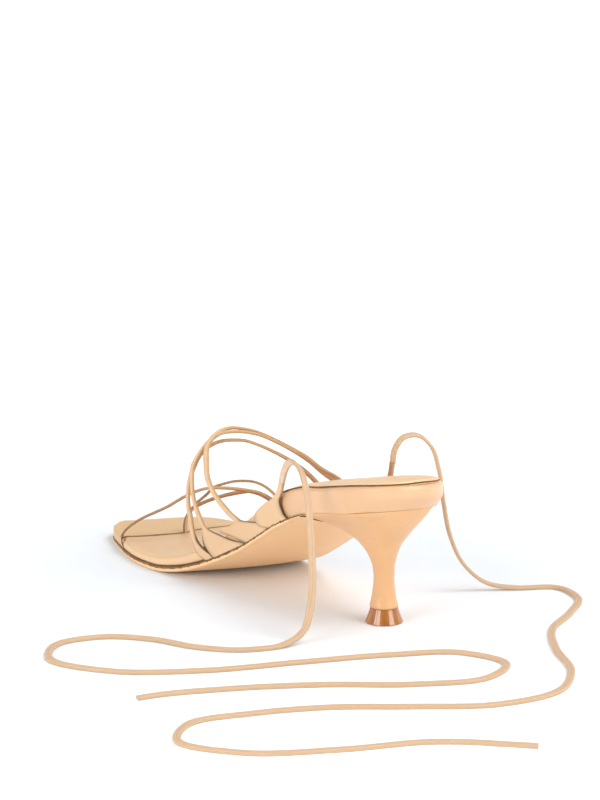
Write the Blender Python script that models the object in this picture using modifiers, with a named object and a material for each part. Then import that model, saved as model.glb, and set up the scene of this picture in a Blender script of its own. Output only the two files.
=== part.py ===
"""Ankle-tie kitten heel sandal, right shoe.

Working frame in millimetres: +Y runs from heel to toe, +X is the outer side of
the shoe, +Z is up and z = 0 is the floor.  The finished pieces are moved so
that the middle of the standing shoe is at the origin, and scaled to metres.
"""
import bpy
import bmesh
import numpy as np

MM = 0.001                    # millimetre in metres
GAP = 0.3                     # clearance between pieces that touch
ORIGIN_X, ORIGIN_Y = 0.334, 124.1   # working-frame point that becomes x = y = 0

# ---------------------------------------------------------------- sole shape
LEDGE = 2.0                   # outsole stands out past the footbed wall
WALL_SWELL = 0.2              # outward swell of the footbed wall
EDGE_ROUND = 2.2              # rounding of the footbed's top edge
CROWN = 0.7                   # rise of the footbed across its width
SKEW = 0.31                   # the arch starts further back on the outer side
SKEW_FROM, SKEW_FULL = 40.0, 92.0
SKEW_FADE, SKEW_END = 175.0, 215.0
SKEW_AXIS = -25.0
LEAN, LEAN_WIDE = 2.8, 48.0    # the seat drops toward its outer side
LEAN_FULL, LEAN_END = 60.0, 110.0
TUCK, TUCK_RISE = 2.6, 1.8    # the wall's lower edge draws in round the back
TUCK_FROM, TUCK_FULL = 38.0, 6.0
SOLE_REAR = 66.4              # rear end of the outsole
SOCK_INSET = 2.8              # insole lies inside the footbed edge
SOCK_THICK = 1.3
SOCK_FRONT_IN, SOCK_FRONT_OUT, SOCK_BOW = 214.0, 201.0, 9.5

# plan outline of the footbed: distance from the heel, then x of each edge
INNER_EDGE = [  # y, x
    (3, 0), (6, -11.5), (13, -19.4), (27, -24.2), (50, -25), (75, -23.8),
    (98, -23.6), (122, -27), (148, -33), (172, -36.4), (192, -35.6),
    (207, -32), (219, -27.2), (228.5, -23.4), (235.4, -20.4), (239.6, -17.7),
    (242.2, -15), (243.4, -12)]
OUTER_EDGE = [  # y, x
    (3, 0), (6, 11.5), (13, 19.4), (27, 24.2), (50, 25), (75, 25),
    (98, 26.2), (122, 29.8), (148, 34), (170, 36.6), (188, 37.2),
    (202, 36.7), (212, 34.8), (220, 31.6), (226.2, 26.6), (230.8, 20),
    (234.6, 12), (238, 3.5), (240.8, -4), (242.7, -9), (243.4, -12)]

# side profile: y, height of the seam, footbed depth, outsole depth,
# belly of the outsole below its edges, instep height over the footbed
PROFILE = [
    (0, 63.6, 11.3, 2.6, 2.8, 60), (15, 60.8, 12.6, 2.6, 2.8, 60),
    (30, 57.8, 13.1, 2.6, 2.8, 60), (55, 52.9, 12.4, 2.6, 2.8, 60),
    (66, 50.2, 13.1, 2.6, 2.8, 60), (76, 46.6, 13.9, 2.6, 3.0, 60),
    (88, 41.2, 14.4, 2.6, 3.2, 60), (100, 33.6, 13.7, 2.6, 3.1, 60),
    (114, 24.2, 11.7, 2.7, 2.8, 60), (128, 16.3, 8.8, 2.8, 2.3, 60),
    (142, 9.8, 6.8, 2.9, 1.6, 58), (156, 5.4, 5.5, 3.0, 0.8, 54),
    (170, 3.4, 4.8, 3.2, 0.2, 42), (185, 3.1, 4.4, 3.3, 0.0, 28),
    (205, 2.8, 4.5, 3.0, 0.0, 18), (225, 1.9, 5.35, 2.1, 0.0, 12),
    (243.4, 1.5, 5.5, 1.7, 0.0, 8)]
SEAM, BED, SOLE, BELLY, INSTEP = 1, 2, 3, 4, 5

# ---------------------------------------------------------------- heel shape
HEEL_Y = 33.0                 # axis of the heel, from the back
TIP_HEIGHT = 7.6
TIP_TOP, TIP_FOOT = 6.75, 9.2  # radii of the tip
HEEL_SIDES, HEEL_RINGS = 40, 17
SHEAR, SHEAR_FROM, SHEAR_FULL = 0.212, 30.0, 57.0   # rings tilt to the seat's slope
HEEL = [  # height on the axis, half width, reach to the back, reach to the
          # front, squareness of the back, squareness of the front
    (7.9, 6.9, 6.85, 7.4, 2.0, 2.0), (14, 5.55, 5.45, 6.3, 2.0, 2.0),
    (22, 4.9, 4.8, 5.6, 2.0, 2.0), (27, 5.0, 5.0, 6.6, 2.0, 2.0),
    (32, 5.75, 6.2, 10.2, 2.0, 2.0), (38, 7.6, 8.5, 17.8, 2.0, 2.0),
    (41, 9.0, 11.0, 23.4, 2.05, 2.1), (44.5, 11.2, 14.6, 29.0, 2.1, 2.3),
    (48.7, 14.7, 19.2, 32.8, 2.2, 3.2), (52.2, 18.0, 22.3, 33.0, 2.3, 6.0),
    (57.4, 24.0, 24.8, 33.0, 2.2, 14.0), (58.5, 24.1, 24.9, 33.0, 2.2, 14.0)]

# --------------------------------------------------------------- strap shape
LEATHER = 1.5                 # folded leather strap
STRAP = 3.1                   # strap width
HUG = 1.3                     # middle of a strap root, out from the wall
LIFT = 0.9                    # step where one strap lies over another
FLARE_OUT, FLARE_MAX = 0.16, 3.0
LEAN_IN = 0.0222              # lean of a free instep strap over the wall, per mm squared
INWARD = np.array([0.588, 0.780, -0.213])
RUNG_STEP = 5.0               # spacing of the sections along a strap

# strap roots on the wall: y and height over the seam, front edge then rear edge
ROOT_S1 = [(137.8, 1.1, 130.7, 1.1), (143, 4.9, 136.8, 4.4),
           (145.1, 10.3, 141.7, 10.5), (146.1, 17, 143.2, 17.2),
           (146.4, 24, 143.6, 24.1)]
ROOT_S2 = [(132.7, 1.1, 111, 1.1), (136.3, 5.6, 122, 6.55),
           (137.9, 9.4, 127.9, 10.9), (137.8, 12.4, 131.4, 13.7),
           (137.4, 16, 134.4, 16.8), (140.1, 24, 137.3, 24.2)]
ROOT_S3 = [(111.4, 1.1, 94, 1.1), (116.4, 4.6, 99.6, 5), (121.6, 8.3, 104.6, 7.9),
           (126.2, 11.3, 109.2, 10.4), (127.6, 12.7, 112.4, 12.2),
           (122.4, 13, 114, 13.4), (117.8, 14.2, 115.2, 15.2),
           (119.9, 16.8, 117.4, 17.8), (125.2, 23.8, 122, 24.2)]
ROOT_TIE_IN = [(93.5, 1.1, 77.8, 1.1), (101.6, 5.3, 81.2, 3.6),
               (103.7, 8.95, 82.5, 6.35), (103.2, 11.4, 83, 7.85),
               (100.4, 12.8, 83.2, 9.8), (95.5, 13.3, 82.7, 11.3),
               (88.3, 13.4, 81.2, 12.85), (84.6, 15.5, 79.8, 14.75),
               (82.4, 18.2, 78.4, 17.45)]
ROOT_A1 = [(93.6, 17.5, 90.2, 19), (93.4, 10, 83, 10), (96, 1.1, 74, 1.6)]
ROOT_A3 = [(112, 14.5, 108.6, 16), (111, 7.5, 104.5, 8.5), (113, 1.1, 100, 1.1)]
ROOT_TIE_OUT = [(79, 2.6, 56.5, 2.6), (77, 5.2, 57.5, 5.8),
                (72, 8.9, 58.6, 9.3), (67.4, 12.2, 59.9, 12.4),
                (65.3, 15.0, 60.9, 15.0), (64.9, 18.2, 61, 18.2),
                (64.8, 21.5, 61, 21.5)]
ROOT_B1_IN = [(218.4, 1.1, 214.8, 1.1), (218.2, 3.6, 214.7, 3.6),
              (217.7, 5.6, 214.4, 5.7)]
ROOT_B_OUT = [(157.5, 13.5, 154, 14.5), (156.5, 7, 149.5, 7.5),
              (158, 1.1, 147, 1.1)]

# free runs of the straps over the foot: x, y, z
RUN_S1 = [(-31.2, 153.1, 39.3), (-27.7, 157.0, 48.6), (-22.1, 159.9, 56.5),
          (-18.5, 161.2, 60.1), (-12.5, 162.0, 63.9), (-3.6, 161.4, 66.1),
          (1.6, 160.1, 66.0), (7.9, 157.7, 65.2), (13.5, 154.3, 62.9),
          (19.9, 148.1, 59.2), (24.4, 140.9, 55.4), (27.0, 134.2, 51.9),
          (28.6, 123.3, 46.0)]
RUN_S2 = [(-30.8, 146.7, 40.5), (-28.5, 152.3, 49.0), (-24.2, 157.1, 57.4),
          (-20.5, 158.3, 60.9), (-13.2, 159.7, 66.5), (-5.0, 159.9, 69.8),
          (0.7, 158.8, 69.9), (5.7, 157.4, 69.4), (11.5, 155.0, 68.0),
          (15.9, 152.1, 66.3), (19.9, 148.1, 64.0), (25.3, 138.2, 59.6),
          (27.1, 130.9, 57.0), (27.6, 119.8, 53.3), (27.6, 107.3, 50.9),
          (27.6, 100.3, 49.7)]
RUN_S3 = [(-28.4, 132.1, 45.8), (-27.3, 140.8, 52.7), (-22.6, 149.2, 60.2),
          (-17.2, 156.0, 65.8), (-8.8, 160.4, 70.2), (-2.9, 161.6, 71.9),
          (2.6, 161.6, 72.1), (7.9, 160.4, 71.2), (12.6, 158.5, 69.9),
          (17.9, 154.7, 67.5), (21.5, 150.4, 65.2), (26.2, 139.3, 60.9),
          (27.5, 131.4, 58.6), (27.3, 119.4, 54.9), (27.6, 104.0, 51.7)]
RUN_B1 = [(-30.2, 215.4, 9.4), (-30.0, 213.4, 11.6), (-29.2, 210.8, 14.1),
          (-27.8, 207.2, 17.0), (-25.0, 202.6, 20.4), (-20.7, 197.6, 23.7),
          (-16.1, 193.6, 26.7), (-11.1, 190.3, 30.3), (-8, 189.1, 31.9),
          (-2.5, 186.1, 34.5), (3.5, 184.7, 35.4), (9.5, 182.9, 35.0),
          (15.5, 179.8, 34.4), (21.5, 176.6, 33.1), (27, 172.5, 31.6),
          (32.6, 165.6, 27.0)]
RUN_B2 = [(-0.6, 201.2, 8.5), (-0.7, 201.2, 11.6), (-0.4, 201.0, 14.5),
          (0.4, 200.8, 17.1), (1.4, 200.4, 19.2), (3, 199.2, 21.9),
          (3.6, 195.4, 26.1), (4, 191.3, 29.3), (4.6, 187.5, 32.4),
          (6.5, 185.0, 35.8), (12.7, 183.6, 37.4), (18.0, 182.2, 38.1),
          (22.5, 179.6, 38.2), (26.5, 175.2, 37.9), (30.2, 169.6, 35.6),
          (33.4, 164.4, 30.8), (35.6, 160.2, 25.0)]
RUN_B3 = [(2.6, 201.0, 20.6), (4.6, 197.0, 23.5), (10, 192.3, 26.9),
          (14.5, 188.8, 28.8), (18.6, 184.1, 30.6), (22.5, 176.8, 32.8)]

# ------------------------------------------------------------------ ties
TIE_LENGTH = 680.0
TIE_RADIUS = 1.5
TIE_POINTS = 40
LIE = 1.65                    # middle of a tie lying on the floor
# routes of the ties: x, y, z, from the root over and down to the floor
TIE_IN = [
    (-26.62, 79.9, 63.7), (-27.5, 76.8, 69.7), (-29.6, 70.6, 75.4),
    (-32.6, 61.6, 78.0), (-36.0, 50.8, 74.8), (-38.8, 43.0, 65.2),
    (-40.6, 38.4, 51.5), (-42.2, 35.0, 35.0), (-45.2, 31.6, 18.5),
    (-52.0, 28.2, 6.8), (-67.5, 28.0, LIE), (-85.0, 35.0, LIE),
    (-98.5, 51.0, LIE), (-107.0, 72.0, LIE), (-123.0, 90.0, LIE),
    (-147.0, 94.0, LIE), (-163.0, 76.0, LIE), (-151.0, 44.5, LIE),
    (-117.0, 19.5, LIE), (-74.3, 3.0, LIE), (-33.0, -13.5, LIE),
    (-4.6, -31.0, LIE), (1.0, -55.4, LIE), (-20.2, -67.0, LIE),
    (-52.2, -54.5, LIE), (-85.7, -30.0, LIE), (-122.9, -9.5, LIE),
    (-160.5, 3.5, LIE), (-192.9, 1.0, LIE), (-208.1, -20.5, LIE)]
TIE_OUT = [
    (28.66, 62.8, 68.9), (29.4, 62.3, 75.2), (32.8, 61.0, 80.8),
    (40.8, 58.9, 81.9), (48.2, 57.0, 75.6), (52.2, 55.6, 63.6),
    (54.6, 54.4, 46.0), (57.6, 52.6, 29.0), (63.6, 49.2, 14.5),
    (73.0, 44.6, 5.4), (89.0, 34.8, LIE), (104.0, 24.8, LIE),
    (100.3, 5.0, LIE), (79.9, -12.2, LIE), (54.3, -27.9, LIE),
    (34.2, -52.9, LIE), (16.9, -82.4, LIE), (-8.3, -101.0, LIE),
    (-41.5, -98.5, LIE), (-73.7, -78.0, LIE), (-103.0, -57.2, LIE),
    (-133.4, -44.3, LIE), (-164.2, -38.6, LIE), (-181.8, -55.4, LIE),
    (-167.9, -83.4, LIE), (-133.5, -104.3, LIE), (-95.5, -120.4, LIE),
    (-60.9, -154.0, LIE)]

COLOURS = {  # base colour, roughness
    "outsole": ((0.62, 0.42, 0.26), 0.55),
    "footbed": ((0.86, 0.66, 0.47), 0.42),
    "insole": ((0.85, 0.65, 0.46), 0.48),
    "heel": ((0.87, 0.63, 0.43), 0.36),
    "heel_tip": ((0.36, 0.16, 0.05), 0.22),
    "instep_straps": ((0.85, 0.62, 0.40), 0.42),
    "toe_straps": ((0.84, 0.60, 0.38), 0.42),
    "tie_inner": ((0.85, 0.61, 0.40), 0.44),
    "tie_outer": ((0.85, 0.61, 0.40), 0.44),
}


# ------------------------------------------------------------ curve helpers
def column(table, col, at):
    """Monotone cubic through one column of a table, read at the values at."""
    rows = np.array(table, float)
    xs, ys = rows[:, 0], rows[:, col]
    h, d = np.diff(xs), np.diff(ys) / np.diff(xs)
    m = np.zeros_like(ys)
    m[0], m[-1] = d[0], d[-1]
    for i in range(1, len(ys) - 1):
        if d[i - 1] * d[i] > 0:
            a, b = 2 * h[i] + h[i - 1], h[i] + 2 * h[i - 1]
            m[i] = (a + b) / (a / d[i - 1] + b / d[i])
    at = np.clip(np.asarray(at, float), xs[0], xs[-1])
    i = np.clip(np.searchsorted(xs, at, side="right") - 1, 0, len(xs) - 2)
    s = (at - xs[i]) / h[i]
    return ((2 * s**3 - 3 * s**2 + 1) * ys[i] + (s**3 - 2 * s**2 + s) * h[i] * m[i]
            + (3 * s**2 - 2 * s**3) * ys[i + 1] + (s**3 - s**2) * h[i] * m[i + 1])


class Curve:
    """Smooth curve through points, read by distance along the chords."""

    def __init__(self, points, first=None, last=None):
        p = np.array(points, float)
        seg = np.linalg.norm(np.diff(p, axis=0), axis=1)
        m = np.zeros_like(p)
        for i in range(1, len(p) - 1):
            m[i] = ((p[i + 1] - p[i]) / seg[i] * seg[i - 1]
                    + (p[i] - p[i - 1]) / seg[i - 1] * seg[i]) / (seg[i] + seg[i - 1])
        m[0] = (p[1] - p[0]) / seg[0] if first is None else first
        m[-1] = (p[-1] - p[-2]) / seg[-1] if last is None else last
        self.p, self.seg, self.m = p, seg, m
        self.t = np.concatenate([[0], np.cumsum(seg)])

    def at(self, t):
        t = np.clip(np.atleast_1d(np.asarray(t, float)), 0, self.t[-1])
        i = np.clip(np.searchsorted(self.t, t, side="right") - 1, 0, len(self.seg) - 1)
        s, h = ((t - self.t[i]) / self.seg[i])[:, None], self.seg[i][:, None]
        return ((2 * s**3 - 3 * s**2 + 1) * self.p[i]
                + (s**3 - 2 * s**2 + s) * h * self.m[i]
                + (3 * s**2 - 2 * s**3) * self.p[i + 1]
                + (s**3 - s**2) * h * self.m[i + 1])


def unit(v):
    v = np.asarray(v, float)
    return v / np.maximum(np.linalg.norm(v, axis=-1, keepdims=True), 1e-9)


# ------------------------------------------------------------- sole surfaces
INNER = Curve([(x, y) for y, x in INNER_EDGE], (-1, 0), (1, 0))
OUTER = Curve([(x, y) for y, x in OUTER_EDGE], (1, 0), (-1, 0))
FINE_IN = INNER.at(np.linspace(0, INNER.t[-1], 900))
FINE_OUT = OUTER.at(np.linspace(0, OUTER.t[-1], 900))


def edge_x(side, y):
    fine = FINE_IN if side < 0 else FINE_OUT
    return np.interp(y, fine[:, 1], fine[:, 0])


def edge_normal(side, y):
    """Outward plan normal of an edge at y."""
    dy = 1.0
    dx = edge_x(side, y + dy) - edge_x(side, y - dy)
    return unit(np.stack([side * 2 * dy + 0 * dx, -side * dx], -1))


def arch_y(x, y):
    """Distance along the arch: the profile is skewed across the shoe."""
    x, y = np.asarray(x, float), np.asarray(y, float)
    b = np.clip((y - SKEW_FROM) / (SKEW_FULL - SKEW_FROM), 0, 1)
    fade = np.clip((SKEW_END - y) / (SKEW_END - SKEW_FADE), 0, 1)
    return y + SKEW * (x - SKEW_AXIS) * b * b * (3 - 2 * b) * fade


def ease(x):
    x = np.clip(x, 0.0, 1.0)
    return x * x * (3 - 2 * x)


def seam(x, y):
    out = np.clip((np.asarray(x, float) - SKEW_AXIS) / LEAN_WIDE, 0, 1)
    fade = ease((LEAN_END - np.asarray(y, float)) / (LEAN_END - LEAN_FULL))
    return column(PROFILE, SEAM, arch_y(x, y)) - LEAN * out * out * fade


def depth(x, y):
    return column(PROFILE, BED, arch_y(x, y))


def across(x, y):
    """Place between the edges, -1 inner to 1 outer."""
    a, b = edge_x(-1, y), edge_x(1, y)
    half = np.maximum((b - a) / 2, 2.0)
    return np.clip((x - (a + b) / 2) / half, -1, 1)


def top(x, y):
    return seam(x, y) + depth(x, y) + CROWN * (1 - across(x, y)**2)


def under(x, y):
    """Underside of the outsole, flat where it meets the floor."""
    a = arch_y(x, y)
    z = seam(x, y) - column(PROFILE, SOLE, a)
    z = z - column(PROFILE, BELLY, a) * (1 - across(x, y)**2)
    return np.maximum(z, 0.0)


def side_points(side, y_from, y_to, n, offset):
    """n points along one edge, moved out by offset, evenly by distance."""
    curve, fine = (INNER, FINE_IN) if side < 0 else (OUTER, FINE_OUT)
    t = np.linspace(0, curve.t[-1], 900)
    ta = 0.0 if y_from is None else np.interp(y_from, fine[:, 1], t)
    tb = curve.t[-1] if y_to is None else np.interp(y_to, fine[:, 1], t)
    s = np.linspace(ta, tb, n)
    p = curve.at(s)
    d = curve.at(np.minimum(s + .2, curve.t[-1])) - curve.at(np.maximum(s - .2, 0))
    d = unit(d)
    if y_from is None:
        d[0] = (side, 0)
    if y_to is None:
        d[-1] = (-side, 0)
    normal = np.stack([d[:, 1], -d[:, 0]], 1) * side
    out = offset(p[:, 1])[:, None] if callable(offset) else offset
    return p + out * normal


# ------------------------------------------------------------ mesh helpers
def new_object(name, bm, collection):
    bmesh.ops.recalc_face_normals(bm, faces=bm.faces[:])
    mesh = bpy.data.meshes.new(name)
    bm.to_mesh(mesh)
    bm.free()
    obj = bpy.data.objects.new(name, mesh)
    collection.objects.link(obj)
    return obj


def place(points):
    p = np.array(points, float) - np.array([ORIGIN_X, ORIGIN_Y, 0.0])
    return p * MM


def slab(name, collection, levels, cap_low, cap_high, n, cols, span_in, span_out, bow=0.0):
    """Loft stacked outlines, each an offset (a number or a function of y) and a
    height function, and close it with a low and a high cap.  A span (from, to) of None runs to the end
    of the shoe, where the two edges meet in one point; bow curves a cut front."""
    bm = bmesh.new()
    cut_rear, cut_front = span_in[0] is not None, span_in[1] is not None
    c = np.linspace(-1, 1, cols + 1)

    def ring(offset, height):
        a = side_points(-1, *span_in, n, offset)
        b = side_points(1, *span_out, n, offset)
        if not cut_rear:
            b[0] = a[0]
        if not cut_front:
            b[-1] = a[-1]
        return [np.column_stack([s, height(s[:, 0], s[:, 1])]) for s in (a, b)]

    rings = []
    for offset, height in levels:
        a, b = ring(offset, height)
        va = [bm.verts.new(v) for v in place(a)]
        vb = [bm.verts.new(v) for v in place(b)]
        if not cut_rear:
            bm.verts.remove(vb[0])
            vb[0] = va[0]
        if not cut_front:
            bm.verts.remove(vb[-1])
            vb[-1] = va[-1]
        rings.append((va, vb))
    for (a0, b0), (a1, b1) in zip(rings, rings[1:]):
        for lo, hi in ((a0, a1), (b0, b1)):
            for i in range(n - 1):
                bm.faces.new([lo[i], lo[i + 1], hi[i + 1], hi[i]])

    def cap(level, pair, height):
        a, b = ring(*level)
        grid = []
        for i in range(n):
            va, vb = pair[0][i], pair[1][i]
            if va is vb:
                grid.append([va])
                continue
            row = [va]
            for k in range(1, cols):
                f = (c[k] + 1) / 2
                x, y = a[i, :2] * (1 - f) + b[i, :2] * f
                y -= bow * (1 - c[k]**2) * max(0.0, 1 - (n - 1 - i) / 5) if cut_front else 0.0
                row.append(bm.verts.new(place([(x, y, float(height(x, y)))])[0]))
            grid.append(row + [vb])
        for r0, r1 in zip(grid, grid[1:]):
            if len(r0) == 1 or len(r1) == 1:
                tip, row = (r0, r1) if len(r0) == 1 else (r1, r0)
                for k in range(cols):
                    bm.faces.new([tip[0], row[k], row[k + 1]])
            else:
                for k in range(cols):
                    bm.faces.new([r0[k], r0[k + 1], r1[k + 1], r1[k]])
        return grid

    low = cap(levels[0], rings[0], cap_low)
    high = cap(levels[-1], rings[-1], cap_high)
    for cut, i in ((cut_rear, 0), (cut_front, n - 1)):
        if not cut:
            continue
        left = [r[0][i] for r in rings]
        right = [r[1][i] for r in rings]
        for k in range(cols):
            bm.faces.new([low[i][k], low[i][k + 1], high[i][k + 1], high[i][k]])
        if len(rings) > 2:
            bm.faces.new(left)
            bm.faces.new(right)
    return new_object(name, bm, collection)


# -------------------------------------------------------------- strap helper
def wall_point(side, y, up, lift, lean=0.0):
    x = float(edge_x(side, y))
    over = max(0.0, up - float(depth(x, y)))
    n = edge_normal(side, y)
    out = HUG + lift + min(FLARE_MAX, FLARE_OUT * over)
    p = np.array([x + n[0] * out, y + n[1] * out, float(seam(x, y)) + up])
    return p + INWARD * lean * over**2, np.array([n[0], n[1], 0.12])


def foot_normal(p):
    """Outward direction of the foot that the straps go round."""
    x, y, z = p
    mid = (edge_x(-1, y) + edge_x(1, y)) / 2
    core = top(mid, y) + 0.45 * column(PROFILE, INSTEP, arch_y(mid, y))
    return unit(np.array([x - mid, max(0.0, y - 194.0), float(z - core)]))


def rungs(start, side, run, finish, far_side, lift, width):
    """Front edge, rear edge and outward normal of each section of a strap."""
    front, rear, normal = [], [], []
    for fy, fu, ry, ru in start or []:
        a, na = wall_point(side, fy, fu, lift, LEAN_IN if run else 0.0)
        b, nb = wall_point(side, ry, ru, lift, LEAN_IN if run else 0.0)
        front.append(a), rear.append(b), normal.append(unit(na + nb))
    if run:
        mid = np.array(run, float)
        d = np.gradient(mid, axis=0)
        for p, t in zip(mid, d):
            n = foot_normal(p)
            n = unit(n - unit(t) * np.dot(n, unit(t)))
            b = unit(np.cross(unit(t), n))
            ref = front[-1] - rear[-1] if front else np.array([-1.0, 0.3, 0.0])
            b = b if np.dot(b, ref) >= 0 else -b
            p = p + n * lift
            front.append(p + b * width / 2), rear.append(p - b * width / 2), normal.append(n)
    for fy, fu, ry, ru in finish or []:
        a, na = wall_point(far_side, fy, fu, lift)
        b, nb = wall_point(far_side, ry, ru, lift)
        ref = front[-1] - rear[-1]
        if np.dot(a - b, ref) < 0:
            a, b = b, a
        front.append(a), rear.append(b), normal.append(unit(na + nb))
    return np.array(front), np.array(rear), np.array(normal)


def ribbon(name, collection, start, side, run=None, finish=None, far_side=1,
           lift=0.0, width=STRAP):
    """Solid strap with softened edges swept through its sections."""
    front, rear, normal = rungs(start, side, run, finish, far_side, lift, width)
    line = Curve(np.hstack([front, rear, normal]))
    knots = [0.0]
    for i in range(len(front) - 1):
        reach = max(np.linalg.norm(front[i + 1] - front[i]), np.linalg.norm(rear[i + 1] - rear[i]))
        steps = max(1, int(round(reach / RUNG_STEP)))
        knots += [line.t[i] + line.seg[i] * (k + 1) / steps for k in range(steps)]
    data = line.at(knots)
    bm = bmesh.new()
    loops = []
    for row in data:
        f, r, n = row[:3], row[3:6], row[6:]
        across_dir = f - r
        n = unit(n - unit(across_dir) * np.dot(n, unit(across_dir)))
        mid, half, t = (f + r) / 2, across_dir / 2, LEATHER / 2
        w = np.linalg.norm(half)
        inner = half * max(0.5, 1 - 0.45 / w)
        loop = [mid + half - n * t * .45, mid + half + n * t * .45,
                mid + inner + n * t, mid - inner + n * t,
                mid - half + n * t * .45, mid - half - n * t * .45,
                mid - inner - n * t, mid + inner - n * t]
        loops.append([bm.verts.new(v) for v in place(loop)])
    for a, b in zip(loops, loops[1:]):
        for k in range(8):
            bm.faces.new([a[k], a[(k + 1) % 8], b[(k + 1) % 8], b[k]])
    bm.faces.new(loops[0])
    bm.faces.new(loops[-1])
    return new_object(name, bm, collection)


def join(target, others):
    """Union the other straps into the target; they stay as hidden cutters."""
    for other in others:
        mod = target.modifiers.new("join_" + other.name, "BOOLEAN")
        mod.operation = "UNION"
        mod.solver = "EXACT"
        mod.object = other
        other.hide_render = True
        other.display_type = "WIRE"


# ------------------------------------------------------------------- pieces
def make_outsole(collection):
    def upper(x, y):
        return seam(x, y) - GAP - 0.1

    def lower(x, y):
        return np.minimum(under(x, y), seam(x, y) - GAP - 1.2)

    def arris(x, y):
        return np.maximum(lower(x, y) + 0.5, 0.0 * x)

    return slab("outsole", collection,
                [(LEDGE - 0.7, lower), (LEDGE, arris), (LEDGE, upper)],
                under, upper, 40, 6, (SOLE_REAR, None), (SOLE_REAR, None))


def make_footbed(collection):
    def rise(share, drop):
        def height(x, y):
            d = depth(x, y)
            r = np.minimum(EDGE_ROUND, 0.5 * d)
            return seam(x, y) + share * (d - r) + (r * drop if share == 1 else 0.0)
        return height

    def back(y):
        return ease((TUCK_FROM - y) / (TUCK_FROM - TUCK_FULL))

    levels = [(lambda y: -0.5 - TUCK * back(y), seam),
              (lambda y: -0.4 * TUCK * back(y), lambda x, y: seam(x, y) + 0.6 + TUCK_RISE * back(y)),
              (WALL_SWELL, rise(0.55, 0)), (0.0, rise(1, 0.0)), (-0.65, rise(1, 0.72)),
              (-EDGE_ROUND, rise(1, 1.0))]
    return slab("footbed", collection, levels, seam, top, 46, 6, (None, None), (None, None))


def make_insole(collection):
    def low(x, y):
        return top(x, y) + GAP

    def side(x, y):
        return top(x, y) + GAP + 0.75 * SOCK_THICK

    def high(x, y):
        return top(x, y) + GAP + SOCK_THICK

    return slab("insole", collection,
                [(-SOCK_INSET, low), (-SOCK_INSET, side), (-SOCK_INSET - 0.4, high)],
                low, high, 38, 6, (None, SOCK_FRONT_IN), (None, SOCK_FRONT_OUT), SOCK_BOW)


def heel_ring(height, theta):
    """Points of one tilted ring of the heel; height is taken on the axis."""
    w, back, front, square_b, square_f = (column(HEEL, k, height) for k in range(1, 6))
    s, c = np.sin(theta), np.cos(theta)
    k = 2.0 / (square_b + (square_f - square_b) * ease(1.5 * c))
    x = w * np.sign(s) * np.abs(s)**k
    y = np.where(c > 0, front, back) * np.sign(c) * np.abs(c)**k
    tilt = SHEAR * ease((height - SHEAR_FROM) / (SHEAR_FULL - SHEAR_FROM))
    return x, HEEL_Y + y, height - tilt * y


def make_heel(collection):
    theta = np.linspace(0, 2 * np.pi, HEEL_SIDES, endpoint=False)
    # each side line of the heel stops where it meets the seat
    lo, hi = np.full(HEEL_SIDES, 20.0), np.full(HEEL_SIDES, HEEL[-1][0])
    for _ in range(40):
        mid = (lo + hi) / 2
        x, y, z = heel_ring(mid, theta)
        below = z < seam(x, y) - GAP
        lo, hi = np.where(below, mid, lo), np.where(below, hi, mid)
    bm = bmesh.new()
    loops = []
    for f in np.linspace(0, 1, HEEL_RINGS):
        ring = heel_ring(HEEL[0][0] + (lo - HEEL[0][0]) * f**0.9, theta)
        loops.append([bm.verts.new(v) for v in place(np.column_stack(ring))])
    x, y, z = heel_ring(lo, theta)
    for share in (0.8, 0.4):
        xi, yi = x * share, HEEL_Y + (y - HEEL_Y) * share
        ring = np.column_stack([xi, yi, seam(xi, yi) - GAP])
        loops.append([bm.verts.new(v) for v in place(ring)])
    for a, b in zip(loops, loops[1:]):
        for k in range(HEEL_SIDES):
            j = (k + 1) % HEEL_SIDES
            bm.faces.new([a[k], a[j], b[j], b[k]])
    hub = bm.verts.new(place([(0, HEEL_Y, float(seam(0, HEEL_Y)) - GAP)])[0])
    for k in range(HEEL_SIDES):
        bm.faces.new([loops[-1][k], loops[-1][(k + 1) % HEEL_SIDES], hub])
    bm.faces.new(loops[0])
    return new_object("heel", bm, collection)


def make_heel_tip(collection):
    """Turned tip: a profile spun about the heel's axis."""
    profile = [(0, TIP_HEIGHT), (TIP_TOP - .3, TIP_HEIGHT), (TIP_TOP, TIP_HEIGHT - .3),
               (TIP_FOOT - .75, 2.4), (TIP_FOOT, 0.5), (TIP_FOOT - .35, 0), (0, 0)]
    mesh = bpy.data.meshes.new("heel_tip")
    mesh.from_pydata([(r * MM, 0, z * MM) for r, z in profile],
                     [(i, i + 1) for i in range(len(profile) - 1)], [])
    obj = bpy.data.objects.new("heel_tip", mesh)
    obj.location = (-ORIGIN_X * MM, (HEEL_Y - ORIGIN_Y) * MM, 0)
    collection.objects.link(obj)
    mod = obj.modifiers.new("turn", "SCREW")
    mod.axis = "Z"
    mod.steps = mod.render_steps = 40
    mod.use_merge_vertices = True
    mod.merge_threshold = 0.00001
    return obj


def tie_route(rows):
    """Points of a tie's own length, closer together where it bends."""
    curve = Curve(rows)
    t = np.linspace(0, curve.t[-1], 4000)
    p = curve.at(t)
    p[:, 2] = np.maximum(p[:, 2], LIE)
    run = np.concatenate([[0], np.cumsum(np.linalg.norm(np.diff(p, axis=0), axis=1))])
    d = unit(np.gradient(p, axis=0))
    turn = np.linalg.norm(np.gradient(d, axis=0), axis=1) / np.maximum(np.gradient(run), 1e-9)
    weight = np.cumsum((0.35 + np.sqrt(np.minimum(turn, .1) * 10)) * np.gradient(run))
    stop = np.interp(TIE_LENGTH, run, weight)
    marks = np.interp(np.linspace(weight[0], stop, TIE_POINTS), weight, run)
    marks[0], marks[-1] = 0.0, TIE_LENGTH
    return np.column_stack([np.interp(marks, run, p[:, k]) for k in range(3)]), run[-1]


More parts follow.
